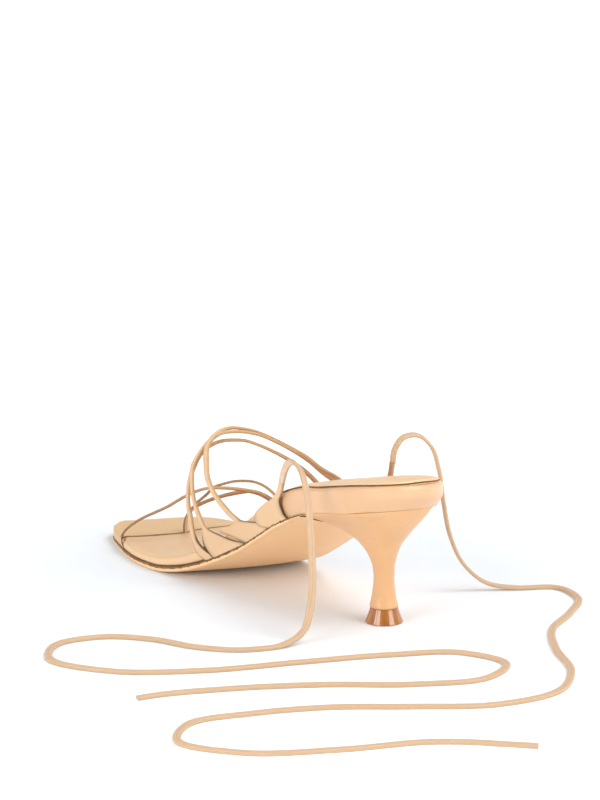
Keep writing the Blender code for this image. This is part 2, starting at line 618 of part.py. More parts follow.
def make_tie(name, rows, collection):
    points, full = tie_route(rows)
    curve = bpy.data.curves.new(name, "CURVE")
    curve.dimensions = "3D"
    curve.bevel_depth = TIE_RADIUS * MM
    curve.bevel_resolution = 2
    curve.use_fill_caps = True
    spline = curve.splines.new("POLY")
    spline.points.add(len(points) - 1)
    for q, v in zip(spline.points, place(points)):
        q.co = (v[0], v[1], v[2], 1.0)
    obj = bpy.data.objects.new(name, curve)
    collection.objects.link(obj)
    return obj


def paint(obj):
    base, rough = COLOURS[obj.name]
    mat = bpy.data.materials.new(obj.name)
    mat.use_nodes = True
    node = mat.node_tree.nodes["Principled BSDF"]
    node.inputs["Base Color"].default_value = (*base, 1.0)
    node.inputs["Roughness"].default_value = rough
    node.inputs["Metallic"].default_value = 0.0
    obj.data.materials.append(mat)


def main():
    for obj in list(bpy.data.objects):
        bpy.data.objects.remove(obj, do_unlink=True)
    parts = bpy.data.collections.new("ankle_tie_sandal")
    cutters = bpy.data.collections.new("strap_runs")
    for c in (parts, cutters):
        bpy.context.scene.collection.children.link(c)

    made = [make_outsole(parts), make_footbed(parts), make_insole(parts),
            make_heel(parts), make_heel_tip(parts)]

    s1 = ribbon("instep_straps", parts, ROOT_S1, -1, RUN_S1, ROOT_A3)
    s2 = ribbon("run_second", cutters, ROOT_S2, -1, RUN_S2, lift=LIFT)
    s3 = ribbon("run_third", cutters, ROOT_S3, -1, RUN_S3, ROOT_A1)
    tie_in = ribbon("root_inner", cutters, ROOT_TIE_IN, -1, lift=LIFT)
    tie_out = ribbon("root_outer", cutters, ROOT_TIE_OUT, 1, lift=LIFT)
    join(s1, [s2, s3, tie_in, tie_out])

    b1 = ribbon("toe_straps", parts, ROOT_B1_IN, -1, RUN_B1, ROOT_B_OUT)
    b2 = ribbon("run_post", cutters, None, 1, RUN_B2, lift=-0.7)
    b3 = ribbon("run_low", cutters, None, 1, RUN_B3, lift=-0.35)
    join(b1, [b2, b3])
    made += [s1, b1, make_tie("tie_inner", TIE_IN, parts), make_tie("tie_outer", TIE_OUT, parts)]

    for obj in made:
        paint(obj)
        if obj.type == "MESH":
            obj.data.shade_smooth()
            obj.data.set_sharp_from_angle(angle=0.7)


main()
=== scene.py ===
"""Looks of the ankle-tie kitten heel sandal: pieces, materials, light, camera.

Lengths in the tables are millimetres in the working frame of the solids: +Y
runs from heel to toe, +X is the outer side and z = 0 is the floor.
"""

import bmesh
import bpy
import numpy as np
from mathutils import Matrix, Vector


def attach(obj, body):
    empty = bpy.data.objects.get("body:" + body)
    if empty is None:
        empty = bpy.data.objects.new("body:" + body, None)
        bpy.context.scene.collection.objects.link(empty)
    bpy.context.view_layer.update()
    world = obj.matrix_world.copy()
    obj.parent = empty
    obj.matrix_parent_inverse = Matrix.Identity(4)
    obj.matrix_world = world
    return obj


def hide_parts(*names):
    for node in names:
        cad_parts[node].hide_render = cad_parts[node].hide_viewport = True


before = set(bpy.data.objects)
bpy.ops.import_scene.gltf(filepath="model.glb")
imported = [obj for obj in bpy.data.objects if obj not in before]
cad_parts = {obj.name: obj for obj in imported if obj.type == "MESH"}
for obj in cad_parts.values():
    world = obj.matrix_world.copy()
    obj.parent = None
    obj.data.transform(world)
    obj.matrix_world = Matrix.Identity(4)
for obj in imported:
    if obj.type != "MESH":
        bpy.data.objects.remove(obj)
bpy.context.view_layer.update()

MM = 0.001
ORIGIN = np.array([0.334, 124.1, 0.0])

# ------------------------------------------------------------- shoe's tables
LEDGE = 2.0
EDGE_ROUND = 2.2
CROWN = 0.7
SKEW, SKEW_AXIS = 0.31, -25.0
SKEW_FROM, SKEW_FULL = 40.0, 92.0
SKEW_FADE, SKEW_END = 175.0, 215.0
LEAN, LEAN_WIDE, LEAN_FULL, LEAN_END = 2.8, 48.0, 60.0, 110.0
SOLE_REAR = 66.4
SKIVE, SKIVE_MID, SKIVE_LONG = 0.25, 1.15, 17.0   # share of thickness left at the sides and middle, taper length
SOCK_FRONT_IN, SOCK_FRONT_OUT, SOCK_SLANT = 216.5, 200.5, 5.0
SOCK_BOW = [  # share of the width from the inner edge, how far the seam lies back
    (0, 0), (0.07, 2.6), (0.14, 4.6), (0.27, 7.4), (0.36, 8.8), (0.43, 9.0), (0.5, 6.6), (0.57, 5.4),
    (0.68, 4.6), (0.82, 3.0), (1, 0)]

INNER_EDGE = [  # y, x
    (3, 0), (6, -11.5), (13, -19.4), (27, -24.2), (50, -25), (75, -23.8),
    (98, -23.6), (122, -27), (148, -33), (172, -36.4), (192, -35.6),
    (207, -32), (219, -27.2), (228.5, -23.4), (235.4, -20.4), (239.6, -17.7),
    (242.2, -15), (243.4, -12)]
OUTER_EDGE = [  # y, x
    (3, 0), (6, 11.5), (13, 19.4), (27, 24.2), (50, 25), (75, 25),
    (98, 26.2), (122, 29.8), (148, 34), (170, 36.6), (188, 37.2),
    (202, 36.7), (212, 34.8), (220, 31.6), (226.2, 26.6), (230.8, 20),
    (234.6, 12), (238, 3.5), (240.8, -4), (242.7, -9), (243.4, -12)]
PROFILE = [  # y, seam, footbed depth, outsole depth, belly, instep height
    (0, 63.6, 11.3, 2.6, 2.8, 60), (15, 60.8, 12.6, 2.6, 2.8, 60),
    (30, 57.8, 13.1, 2.6, 2.8, 60), (55, 52.9, 12.4, 2.6, 2.8, 60),
    (66, 50.2, 13.1, 2.6, 2.8, 60), (76, 46.6, 13.9, 2.6, 3.0, 60),
    (88, 41.2, 14.4, 2.6, 3.2, 60), (100, 33.6, 13.7, 2.6, 3.1, 60),
    (114, 24.2, 11.7, 2.7, 2.8, 60), (128, 16.3, 8.8, 2.8, 2.3, 60),
    (142, 9.8, 6.8, 2.9, 1.6, 58), (156, 5.4, 5.5, 3.0, 0.8, 54),
    (170, 3.4, 4.8, 3.2, 0.2, 42), (185, 3.1, 4.4, 3.3, 0.0, 28),
    (205, 2.8, 4.5, 3.0, 0.0, 18), (225, 1.9, 5.35, 2.1, 0.0, 12),
    (243.4, 1.5, 5.5, 1.7, 0.0, 8)]
SEAM, BED, SOLE, BELLY, INSTEP = 1, 2, 3, 4, 5

HEEL_Y = 33.0
SHEAR, SHEAR_FROM, SHEAR_FULL = 0.212, 30.0, 57.0
HEEL = [  # height on the axis, half width, back, front, back and front squareness
    (7.7, 6.9, 6.85, 7.4, 2.0, 2.0), (14, 5.55, 5.45, 6.3, 2.0, 2.0),
    (22, 4.9, 4.8, 5.6, 2.0, 2.0), (27, 5.0, 5.0, 6.6, 2.0, 2.0),
    (32, 5.75, 6.2, 10.2, 2.0, 2.0), (38, 7.6, 8.5, 17.8, 2.0, 2.0),
    (41, 9.0, 11.0, 23.4, 2.05, 2.1), (44.5, 11.2, 14.6, 29.0, 2.1, 2.3),
    (48.7, 14.7, 19.2, 32.8, 2.2, 3.2), (52.2, 18.0, 22.3, 33.0, 2.3, 6.0),
    (57.4, 24.0, 24.8, 33.0, 2.2, 14.0), (58.5, 24.1, 24.9, 33.0, 2.2, 14.0)]
TIP = [  # radius, z
    (0, 7.6), (5.8, 7.6), (6.4, 7.55), (6.68, 7.4), (6.78, 7.15), (7.15, 5.9),
    (7.6, 4.5), (8.1, 3.1), (8.55, 1.9), (8.9, 1.1), (9.13, 0.6), (9.2, 0.32),
    (9.12, 0.12), (8.9, 0.0), (0, 0.0)]

STRAP, HUG, LIFT = 3.1, 1.3, 0.9
FLARE_OUT, FLARE_MAX, LEAN_IN = 0.16, 3.0, 0.0222
STRAP_THICK, ROOT_THICK = 1.5, 1.0
# strap roots: y and height over the seam, front edge then rear edge
ROOT_S1 = [(137.8, .1, 130.7, .1), (143, 4.9, 136.8, 4.4),
           (145.1, 10.3, 141.7, 10.5), (146.1, 17, 143.2, 17.2),
           (146.4, 24, 143.6, 24.1)]
ROOT_S2 = [(132.7, .1, 111, .1), (136.3, 5.6, 122, 6.55),
           (137.9, 9.4, 127.9, 10.9), (137.8, 12.4, 131.4, 13.7),
           (137.4, 16, 134.6, 16.8), (140.1, 24, 137.5, 24.2)]
ROOT_S3 = [(110.5, .1, 94, .1), (116.4, 4.6, 99.6, 5), (121.6, 8.3, 104.6, 7.9),
           (126.2, 11.3, 109.2, 10.4), (127.6, 12.7, 112.4, 12.2),
           (122.4, 13, 114, 13.4), (117.6, 14.1, 115.2, 15.1),
           (119.7, 16.7, 117.4, 17.7), (125.0, 24, 122.2, 24.4)]
ROOT_TIE_IN = [(93.5, .1, 77.8, .1), (101.6, 5.3, 81.2, 3.6),
               (103.7, 8.95, 82.5, 6.35), (103.2, 11.4, 83, 7.85),
               (100.4, 12.8, 83.2, 9.8), (95.5, 13.3, 82.7, 11.3),
               (88.3, 13.4, 81.2, 12.85), (84.6, 15.5, 79.8, 14.75),
               (82.4, 18.2, 78.4, 17.45)]
ROOT_A1 = [(93.6, 17.5, 90.2, 19), (93.4, 10, 83, 10), (96, .1, 74, .6)]
ROOT_A3 = [(112, 14.5, 108.6, 16), (111, 7.5, 104.5, 8.5), (113, .1, 100, .1)]
ROOT_TIE_OUT = [(79, .6, 56.5, .8), (77, 5.2, 57.5, 5.8), (72, 8.9, 58.6, 9.3),
                (67.4, 12.2, 59.9, 12.4), (65.3, 15.0, 60.9, 15.0), (64.9, 18.2, 61, 18.2),
                (64.8, 21.5, 61, 21.5)]
ROOT_B_OUT = [(157.5, 13.5, 154, 14.5), (156.5, 7, 149.5, 7.5), (158, .1, 147, .1)]
# free runs of the straps over the foot: x, y, z
RUN_S1 = [(-31.2, 153.1, 39.3), (-27.7, 157.0, 48.6), (-22.1, 159.9, 56.5),
          (-18.5, 161.2, 60.1), (-12.5, 162.0, 63.9), (-3.6, 161.4, 66.1),
          (1.6, 160.1, 66.0), (7.9, 157.7, 65.2), (13.5, 154.3, 62.9),
          (19.9, 148.1, 59.2), (24.4, 140.9, 55.4), (27.0, 134.2, 51.9),
          (28.6, 123.3, 46.0)]
RUN_S2 = [(-30.8, 146.7, 40.5), (-28.5, 152.3, 49.0), (-24.2, 157.1, 57.4),
          (-20.5, 158.3, 60.9), (-13.2, 159.7, 66.5), (-5.0, 159.9, 69.8),
          (0.7, 158.8, 69.9), (5.7, 157.4, 69.4), (11.5, 155.0, 68.0),
          (15.9, 152.1, 66.3), (19.9, 148.1, 64.0), (25.3, 138.2, 59.6),
          (27.1, 130.9, 57.0), (27.6, 119.8, 53.3), (27.6, 107.3, 50.9),
          (27.6, 100.3, 49.7)]
RUN_S3 = [(-28.4, 132.1, 45.8), (-27.3, 140.8, 52.7), (-22.6, 149.2, 60.2),
          (-17.2, 156.0, 65.8), (-8.8, 160.4, 70.2), (-2.9, 161.6, 71.9),
          (2.6, 161.6, 72.1), (7.9, 160.4, 71.2), (12.6, 158.5, 69.9),
          (17.9, 154.7, 67.5), (21.5, 150.4, 65.2), (26.2, 139.3, 60.9),
          (27.5, 131.4, 58.6), (27.3, 119.4, 54.9), (27.6, 104.0, 51.7)]
RUN_B1 = [(-29.2, 217.0, 4.4), (-29.7, 216.5, 7.0), (-30.0, 215.4, 9.3),
          (-29.8, 213.4, 11.6), (-29.2, 210.8, 14.1), (-27.8, 207.2, 17.0),
          (-25.0, 202.6, 20.4), (-20.7, 197.6, 23.7), (-16.1, 193.6, 26.7),
          (-11.1, 190.3, 30.3), (-8, 189.1, 31.9), (-2.5, 186.1, 34.5),
          (3.5, 184.7, 35.4), (9.5, 182.9, 35.0), (15.5, 179.8, 34.4),
          (21.5, 176.6, 33.1), (27, 172.5, 31.6), (32.6, 165.6, 27.0)]
RUN_B2 = [(-0.5, 201.0, 6.6), (-0.7, 201.2, 9.5), (-0.7, 201.2, 11.6),
          (-0.4, 201.0, 14.5), (0.4, 200.8, 17.1), (1.4, 200.4, 19.2),
          (3, 199.2, 21.9), (3.6, 195.4, 26.1), (4, 191.3, 29.3),
          (4.6, 187.5, 32.4), (6.5, 185.0, 35.8), (12.7, 183.6, 37.4),
          (18.0, 182.2, 38.1), (22.5, 179.6, 38.2), (26.5, 175.2, 37.9),
          (30.2, 169.6, 35.6), (33.4, 164.4, 30.8), (35.6, 160.2, 25.0)]
RUN_B3 = [(2.6, 201.0, 20.6), (4.6, 197.0, 23.5), (10, 192.3, 26.9),
          (14.5, 188.8, 28.8), (18.6, 184.1, 30.6), (22.5, 176.8, 32.8)]

# how a strap turns on its way: share of its run, share and lean of the turn
# that lays its width along BROAD, width, thickness, darkness of its edges (painted shade)
BROAD = np.array([0.588, 0.780, -0.213])
TURN_S1 = [(0, 0, 0, 2.7, 1.5, 0), (1, 0, 0, 3.0, 1.5, 0)]
TURN_S2 = [(0, 0, 0, 2.5, 1.5, 0), (0.3, 0, 0, 2.6, 1.5, 0), (1, 0, 0, 3.0, 1.5, 0)]
TURN_B1 = [(0, 1, 0, 2.6, 1.0, 1), (0.15, 1, 0.05, 2.7, 1.1, 0.8), (0.35, 1, 0.12, 2.9, 1.25, 0.5),
           (0.5, 0.9, 0.2, 3.1, 1.4, 0.3), (0.62, 0.6, 0.4, 3.1, 1.5, 0.2), (0.75, 0.4, 0.3, 3.1, 1.5, 0),
           (1, 0, 0, 3.1, 1.5, 0)]
TURN_B2 = [(0, 0, 0, 2.5, 1.2, 0.9), (0.25, 0, 0, 2.5, 1.3, 0.7), (0.36, 0.6, 0.2, 2.6, 1.3, 0.5),
           (0.45, 1, 0.2, 2.7, 1.3, 0.5), (0.57, 1, 0.1, 2.8, 1.3, 0.5), (0.7, 0.8, 0.1, 2.8, 1.2, 0.5),
           (0.85, 0.9, 0.1, 2.8, 1.2, 0.4), (1, 0.5, 0, 3.0, 1.4, 0)]
TURN_B3 = [(0, 0.5, 0.2, 2.6, 1.4, 0.3), (1, 0.5, 0.2, 2.8, 1.4, 0)]

TIE_LENGTH, TIE_WIDTH, TIE_THICK = 680.0, 3.7, 1.8
LIE, REST = 1.65, 0.96        # middle of the plain solid's tube, and of the flat tie
TIE_IN = [
    (-26.62, 79.9, 63.7), (-27.5, 76.8, 69.7), (-29.6, 70.6, 75.4),
    (-32.6, 61.6, 78.0), (-36.0, 50.8, 74.8), (-38.8, 43.0, 65.2),
    (-40.6, 38.4, 51.5), (-42.2, 35.0, 35.0), (-45.2, 31.6, 18.5),
    (-52.0, 28.2, 6.8), (-67.5, 28.0, LIE), (-85.0, 35.0, LIE),
    (-98.5, 51.0, LIE), (-107.0, 72.0, LIE), (-123.0, 90.0, LIE),
    (-147.0, 94.0, LIE), (-163.0, 76.0, LIE), (-151.0, 44.5, LIE),
    (-117.0, 19.5, LIE), (-74.3, 3.0, LIE), (-33.0, -13.5, LIE),
    (-4.6, -31.0, LIE), (1.0, -55.4, LIE), (-20.2, -67.0, LIE),
    (-52.2, -54.5, LIE), (-85.7, -30.0, LIE), (-122.9, -9.5, LIE),
    (-160.5, 3.5, LIE), (-192.9, 1.0, LIE), (-208.1, -20.5, LIE)]
TIE_OUT = [
    (28.66, 62.8, 68.9), (29.4, 62.3, 75.2), (32.8, 61.0, 80.8),
    (40.8, 58.9, 81.9), (48.2, 57.0, 75.6), (52.2, 55.6, 63.6),
    (54.6, 54.4, 46.0), (57.6, 52.6, 29.0), (63.6, 49.2, 14.5),
    (73.0, 44.6, 5.4), (89.0, 34.8, LIE), (104.0, 24.8, LIE),
    (100.3, 5.0, LIE), (79.9, -12.2, LIE), (54.3, -27.9, LIE),
    (34.2, -52.9, LIE), (16.9, -82.4, LIE), (-8.3, -101.0, LIE),
    (-41.5, -98.5, LIE), (-73.7, -78.0, LIE), (-103.0, -57.2, LIE),
    (-133.4, -44.3, LIE), (-164.2, -38.6, LIE), (-181.8, -55.4, LIE),
    (-167.9, -83.4, LIE), (-133.5, -104.3, LIE), (-95.5, -120.4, LIE),
    (-60.9, -154.0, LIE)]


# ------------------------------------------------------------ curve helpers
def column(table, col, at):
    """Monotone cubic through one column of a table, read at the values at."""
    rows = np.array(table, float)
    xs, ys = rows[:, 0], rows[:, col]
    h, d = np.diff(xs), np.diff(ys) / np.diff(xs)
    m = np.zeros_like(ys)
    m[0], m[-1] = d[0], d[-1]
    for i in range(1, len(ys) - 1):
        if d[i - 1] * d[i] > 0:
            a, b = 2 * h[i] + h[i - 1], h[i] + 2 * h[i - 1]
            m[i] = (a + b) / (a / d[i - 1] + b / d[i])
    at = np.clip(np.asarray(at, float), xs[0], xs[-1])
    i = np.clip(np.searchsorted(xs, at, side="right") - 1, 0, len(xs) - 2)
    s = (at - xs[i]) / h[i]
    return ((2 * s**3 - 3 * s**2 + 1) * ys[i] + (s**3 - 2 * s**2 + s) * h[i] * m[i]
            + (3 * s**2 - 2 * s**3) * ys[i + 1] + (s**3 - s**2) * h[i] * m[i + 1])


class Curve:
    """Smooth curve through points, read by distance along the chords."""

    def __init__(self, points, first=None, last=None):
        p = np.array(points, float)
        seg = np.linalg.norm(np.diff(p, axis=0), axis=1)
        m = np.zeros_like(p)
        for i in range(1, len(p) - 1):
            m[i] = ((p[i + 1] - p[i]) / seg[i] * seg[i - 1]
                    + (p[i] - p[i - 1]) / seg[i - 1] * seg[i]) / (seg[i] + seg[i - 1])
        m[0] = (p[1] - p[0]) / seg[0] if first is None else first
        m[-1] = (p[-1] - p[-2]) / seg[-1] if last is None else last
        self.p, self.seg, self.m = p, seg, m
        self.t = np.concatenate([[0], np.cumsum(seg)])

    def at(self, t):
        t = np.clip(np.atleast_1d(np.asarray(t, float)), 0, self.t[-1])
        i = np.clip(np.searchsorted(self.t, t, side="right") - 1, 0, len(self.seg) - 1)
        s, h = ((t - self.t[i]) / self.seg[i])[:, None], self.seg[i][:, None]
        return ((2 * s**3 - 3 * s**2 + 1) * self.p[i]
                + (s**3 - 2 * s**2 + s) * h * self.m[i]
                + (3 * s**2 - 2 * s**3) * self.p[i + 1]
                + (s**3 - s**2) * h * self.m[i + 1])


def unit(v):
    v = np.asarray(v, float)
    return v / np.maximum(np.linalg.norm(v, axis=-1, keepdims=True), 1e-9)


def smooth(x):
    x = np.clip(x, 0.0, 1.0)
    return x * x * (3 - 2 * x)


def place(points):
    return (np.asarray(points, float) - ORIGIN) * MM


# ------------------------------------------------------------- sole surfaces
INNER = Curve([(x, y) for y, x in INNER_EDGE], (-1, 0), (1, 0))
OUTER = Curve([(x, y) for y, x in OUTER_EDGE], (1, 0), (-1, 0))
FINE_IN = INNER.at(np.linspace(0, INNER.t[-1], 900))
FINE_OUT = OUTER.at(np.linspace(0, OUTER.t[-1], 900))


def edge_x(side, y):
    fine = FINE_IN if side < 0 else FINE_OUT
    return np.interp(y, fine[:, 1], fine[:, 0])


def edge_normal(side, y):
    dx = edge_x(side, y + 1.0) - edge_x(side, y - 1.0)
    return unit(np.stack([side * 2.0 + 0 * dx, -side * dx], -1))


def arch_y(x, y):
    x, y = np.asarray(x, float), np.asarray(y, float)
    b = np.clip((y - SKEW_FROM) / (SKEW_FULL - SKEW_FROM), 0, 1)
    fade = np.clip((SKEW_END - y) / (SKEW_END - SKEW_FADE), 0, 1)
    return y + SKEW * (x - SKEW_AXIS) * b * b * (3 - 2 * b) * fade


def seam(x, y):
    out = np.clip((np.asarray(x, float) - SKEW_AXIS) / LEAN_WIDE, 0, 1)
    fade = smooth((LEAN_END - np.asarray(y, float)) / (LEAN_END - LEAN_FULL))
    return column(PROFILE, SEAM, arch_y(x, y)) - LEAN * out * out * fade


def depth(x, y):
    return column(PROFILE, BED, arch_y(x, y))


def half_width(y):
    return np.maximum((edge_x(1, y) - edge_x(-1, y)) / 2, 2.0)


def across(x, y):
    mid = (edge_x(-1, y) + edge_x(1, y)) / 2
    return np.clip((x - mid) / half_width(y), -1, 1)


def top(x, y):
    return seam(x, y) + depth(x, y) + CROWN * (1 - across(x, y)**2)


def under(x, y):
    a = arch_y(x, y)
    z = seam(x, y) - column(PROFILE, SOLE, a)
    z = z - column(PROFILE, BELLY, a) * (1 - across(x, y)**2)
    return np.maximum(z, 0.0)


def skive(x, y):
    """Share of the sole's thickness at its rear edge: thin at both sides, full in the middle."""
    return SKIVE + (SKIVE_MID - SKIVE) * (1 - np.abs(across(x, y))**2.5)


def bed_out(side, y):
    """The wall stands further out round the forefoot, close to the outsole's rim."""
    return 1.2 * smooth((np.asarray(y, float) - 150.0) / 25.0)


def side_base(side, y_from, y_to, n):
    """n points along one edge with their outward normals and distances."""
    curve, fine = (INNER, FINE_IN) if side < 0 else (OUTER, FINE_OUT)
    t = np.linspace(0, curve.t[-1], 900)
    ta = 0.0 if y_from is None else np.interp(y_from, fine[:, 1], t)
    tb = curve.t[-1] if y_to is None else np.interp(y_to, fine[:, 1], t)
    s = np.linspace(ta, tb, n)
    p = curve.at(s)
    d = unit(curve.at(np.minimum(s + .2, curve.t[-1])) - curve.at(np.maximum(s - .2, 0)))
    if y_from is None:
        d[0] = (side, 0)
    if y_to is None:
        d[-1] = (-side, 0)
    return p, np.stack([d[:, 1], -d[:, 0]], 1) * side, s


def wobble(s, seed, *waves):
    """Uneven line made of sines: (wavelength, height) pairs."""
    out = np.zeros_like(np.asarray(s, float))
    for k, (length, high) in enumerate(waves):
        out += high * np.sin(2 * np.pi * s / length + seed * (1.7 + k) + 2.1 * k)
    return out


# ------------------------------------------------------------- mesh helpers
def build(name, verts, faces, mats, face_mats=None, attrs=None, node=(), slot=None):
    """Mesh piece from working-frame points, riding on the shoe."""
    mesh = bpy.data.meshes.new(name)
    mesh.from_pydata(place(verts).tolist(), [], [list(map(int, f)) for f in faces])
    for key, values in (attrs or {}).items():
        layer = mesh.attributes.new(key, "FLOAT", "POINT")
        layer.data.foreach_set("value", np.asarray(values, np.float32))
    for m in mats:
        mesh.materials.append(m)
    if face_mats is not None:
        mesh.polygons.foreach_set("material_index", np.asarray(face_mats, np.int32))
    bm = bmesh.new()
    bm.from_mesh(mesh)
    bmesh.ops.recalc_face_normals(bm, faces=bm.faces[:])
    bm.to_mesh(mesh)
    bm.free()
    mesh.shade_smooth()
    obj = bpy.data.objects.new(name, mesh)
    bpy.context.scene.collection.objects.link(obj)
    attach(obj, "root")
    if node:
        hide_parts(*node)
    return obj


def slab(levels, cap_low, cap_high, n, cols, span_in, span_out, bow=None, slant=0.0):
    """Loft stacked outlines (offset, height, tag) and close it with two caps.
    Returns points, faces and a tag for each face."""
    cut_rear, cut_front = span_in[0] is not None, span_in[1] is not None
    verts, faces, tags = [], [], []
    count = 0

    def add(rows):
        nonlocal count
        verts.append(np.asarray(rows, float))
        first, count = count, count + len(rows)
        return np.arange(first, count)

    rings, edges = [], []
    for j, (offset, height, tag) in enumerate(levels):
        pair = []
        back = slant * max(0.0, 1 - j / 5.0)
        for side, span in ((-1, span_in), (1, span_out)):
            cut = [None if y is None else y - back * (bow is not None and side < 0) for y in span]
            p, normal, s = side_base(side, *cut, n)
            o = offset(side, p[:, 1], s) if callable(offset) else np.full(n, float(offset))
            q = p + o[:, None] * normal
            pair.append(q)
        if not cut_rear:
            pair[1][0] = pair[0][0]
        if not cut_front:
            pair[1][-1] = pair[0][-1]
        ia = add(np.column_stack([pair[0], height(pair[0][:, 0], pair[0][:, 1])]))
        b = np.column_stack([pair[1], height(pair[1][:, 0], pair[1][:, 1])])
        lo, hi = (0 if cut_rear else 1), (n if cut_front else n - 1)
        ib = np.empty(n, int)
        ib[lo:hi] = add(b[lo:hi])
        if not cut_rear:
            ib[0] = ia[0]
        if not cut_front:
            ib[-1] = ia[-1]
        rings.append((ia, ib))
        edges.append(pair)
    for j in range(len(levels) - 1):
        for side in (0, 1):
            a, b = rings[j][side], rings[j + 1][side]
            for i in range(n - 1):
                faces.append((a[i], a[i + 1], b[i + 1], b[i]))
                tags.append(levels[j][2])

    c = -np.cos(np.pi * np.arange(cols + 1) / cols)
    lag = 0.0 if bow is None else column(bow, 1, (c[1:-1] + 1) / 2)

    def cap(j, height, tag):
        a, b = edges[j]
        ia, ib = rings[j]
        grid = []
        f = (c[1:-1] + 1) / 2
        for i in range(n):
            if ia[i] == ib[i]:
                grid.append([ia[i]])
                continue
            x = a[i, 0] * (1 - f) + b[i, 0] * f
            y = a[i, 1] * (1 - f) + b[i, 1] * f
            if cut_front:
                y = y - lag * smooth(1 - (n - 1 - i) / (n * 0.16))
            if cut_rear:
                y = y - lag * smooth(1 - i / (n * 0.5))
            grid.append([ia[i], *add(np.column_stack([x, y, height(x, y)])), ib[i]])
        for r0, r1 in zip(grid, grid[1:]):
            if len(r0) == 1 or len(r1) == 1:
                tip, row = (r0, r1) if len(r0) == 1 else (r1, r0)
                new = [(tip[0], row[k], row[k + 1]) for k in range(cols)]
            else:
                new = [(r0[k], r0[k + 1], r1[k + 1], r1[k]) for k in range(cols)]
            faces.extend(new)
            tags.extend([tag] * len(new))
        return grid

    low = cap(0, cap_low, "low")
    high = cap(len(levels) - 1, cap_high, "high")
    for cut, i in ((cut_rear, 0), (cut_front, n - 1)):
        if not cut:
            continue
        for k in range(cols):
            faces.append((low[i][k], low[i][k + 1], high[i][k + 1], high[i][k]))
            tags.append("cut")
        if len(rings) > 2:
            for side in (0, 1):
                faces.append(tuple(r[side][i] for r in rings))
                tags.append("cut")
    return np.vstack(verts), faces, tags


# -------------------------------------------------------------- strap helpers
OUT_U = np.linspace(-1, 1, 9)
IN_U = np.array([1, .62, .3, .14, .06, 0, -.06, -.14, -.3, -.62, -1])
GROOVE = np.array([0, 0, 0, .1, .6, 1, .6, .1, 0, 0, 0])
ARC = np.radians([62, 34, 0, -34, -62])


def sweep(front, rear, normal, thick, root, groove=0.3):
    """Folded leather band through its sections; returns points, faces, attrs."""
    half = (front - rear) / 2
    mid = (front + rear) / 2
    w = np.linalg.norm(half, axis=1, keepdims=True)
    a = half / w
    n = unit(normal - a * np.sum(normal * a, axis=1, keepdims=True))
    t = thick[:, None] / 2
    r = np.minimum(np.minimum(0.62, t * 0.95), w * 0.45)
    slim = np.clip((5.0 - 2 * w) / 2.0, 0, 1)
    cols, edge, inner = [], [], []
    for u in OUT_U:
        cols.append(mid + a * (w - r) * u + n * (t + 0.13 * slim * (1 - u * u)))
        edge.append(0.3 if abs(u) == 1 else 0.0)
        inner.append(0.0)
    for f in ARC:
        cols.append(mid + a * ((w - r) + r * np.cos(f)) + n * t * np.sin(f))
        edge.append(0.55 + 0.45 * np.cos(f))
        inner.append(0.0 if f > 0 else 0.4)
    for u, g in zip(IN_U, GROOVE):
        cols.append(mid + a * (w - r) * u - n * (t - groove * slim * g))
        edge.append(0.3 if abs(u) == 1 else 0.8 * g * float(groove > 0))
        inner.append(1.0)
    for f in ARC[::-1]:
        cols.append(mid - a * ((w - r) + r * np.cos(f)) + n * t * np.sin(f))
        edge.append(0.55 + 0.45 * np.cos(f))
        inner.append(0.0 if f > 0 else 0.4)
    k, m = len(cols), len(front)
    verts = np.stack(cols, axis=1).reshape(-1, 3)
    faces = []
    for i in range(m - 1):
        for j in range(k):
            j1 = (j + 1) % k
            faces.append((i * k + j, i * k + j1, (i + 1) * k + j1, (i + 1) * k + j))
    faces.append(tuple(range(k)))
    faces.append(tuple(range((m - 1) * k, m * k)))
    attrs = {"edge": np.tile(edge, m), "inner": np.tile(inner, m), "root": np.repeat(root, k)}
    return verts, faces, attrs


def wall_point(side, y, up, out, lean=0.0):
    x = float(edge_x(side, y))
    over = max(0.0, up - float(depth(x, y)))
    n = edge_normal(side, y)
    out = out + min(FLARE_MAX, FLARE_OUT * over)
    out = out + float(bed_out(side, y)) * float(smooth((6.0 - up) / 5.0))
    p = np.array([x + n[0] * out, y + n[1] * out, float(seam(x, y)) + up])
    return p + BROAD * lean * over**2, np.array([n[0], n[1], 0.12])


def foot_normal(p):
    x, y, z = p
    mid = (edge_x(-1, y) + edge_x(1, y)) / 2
    core = top(mid, y) + 0.45 * column(PROFILE, INSTEP, arch_y(mid, y))
    return unit(np.array([x - mid, max(0.0, y - 194.0), float(z - core)]))


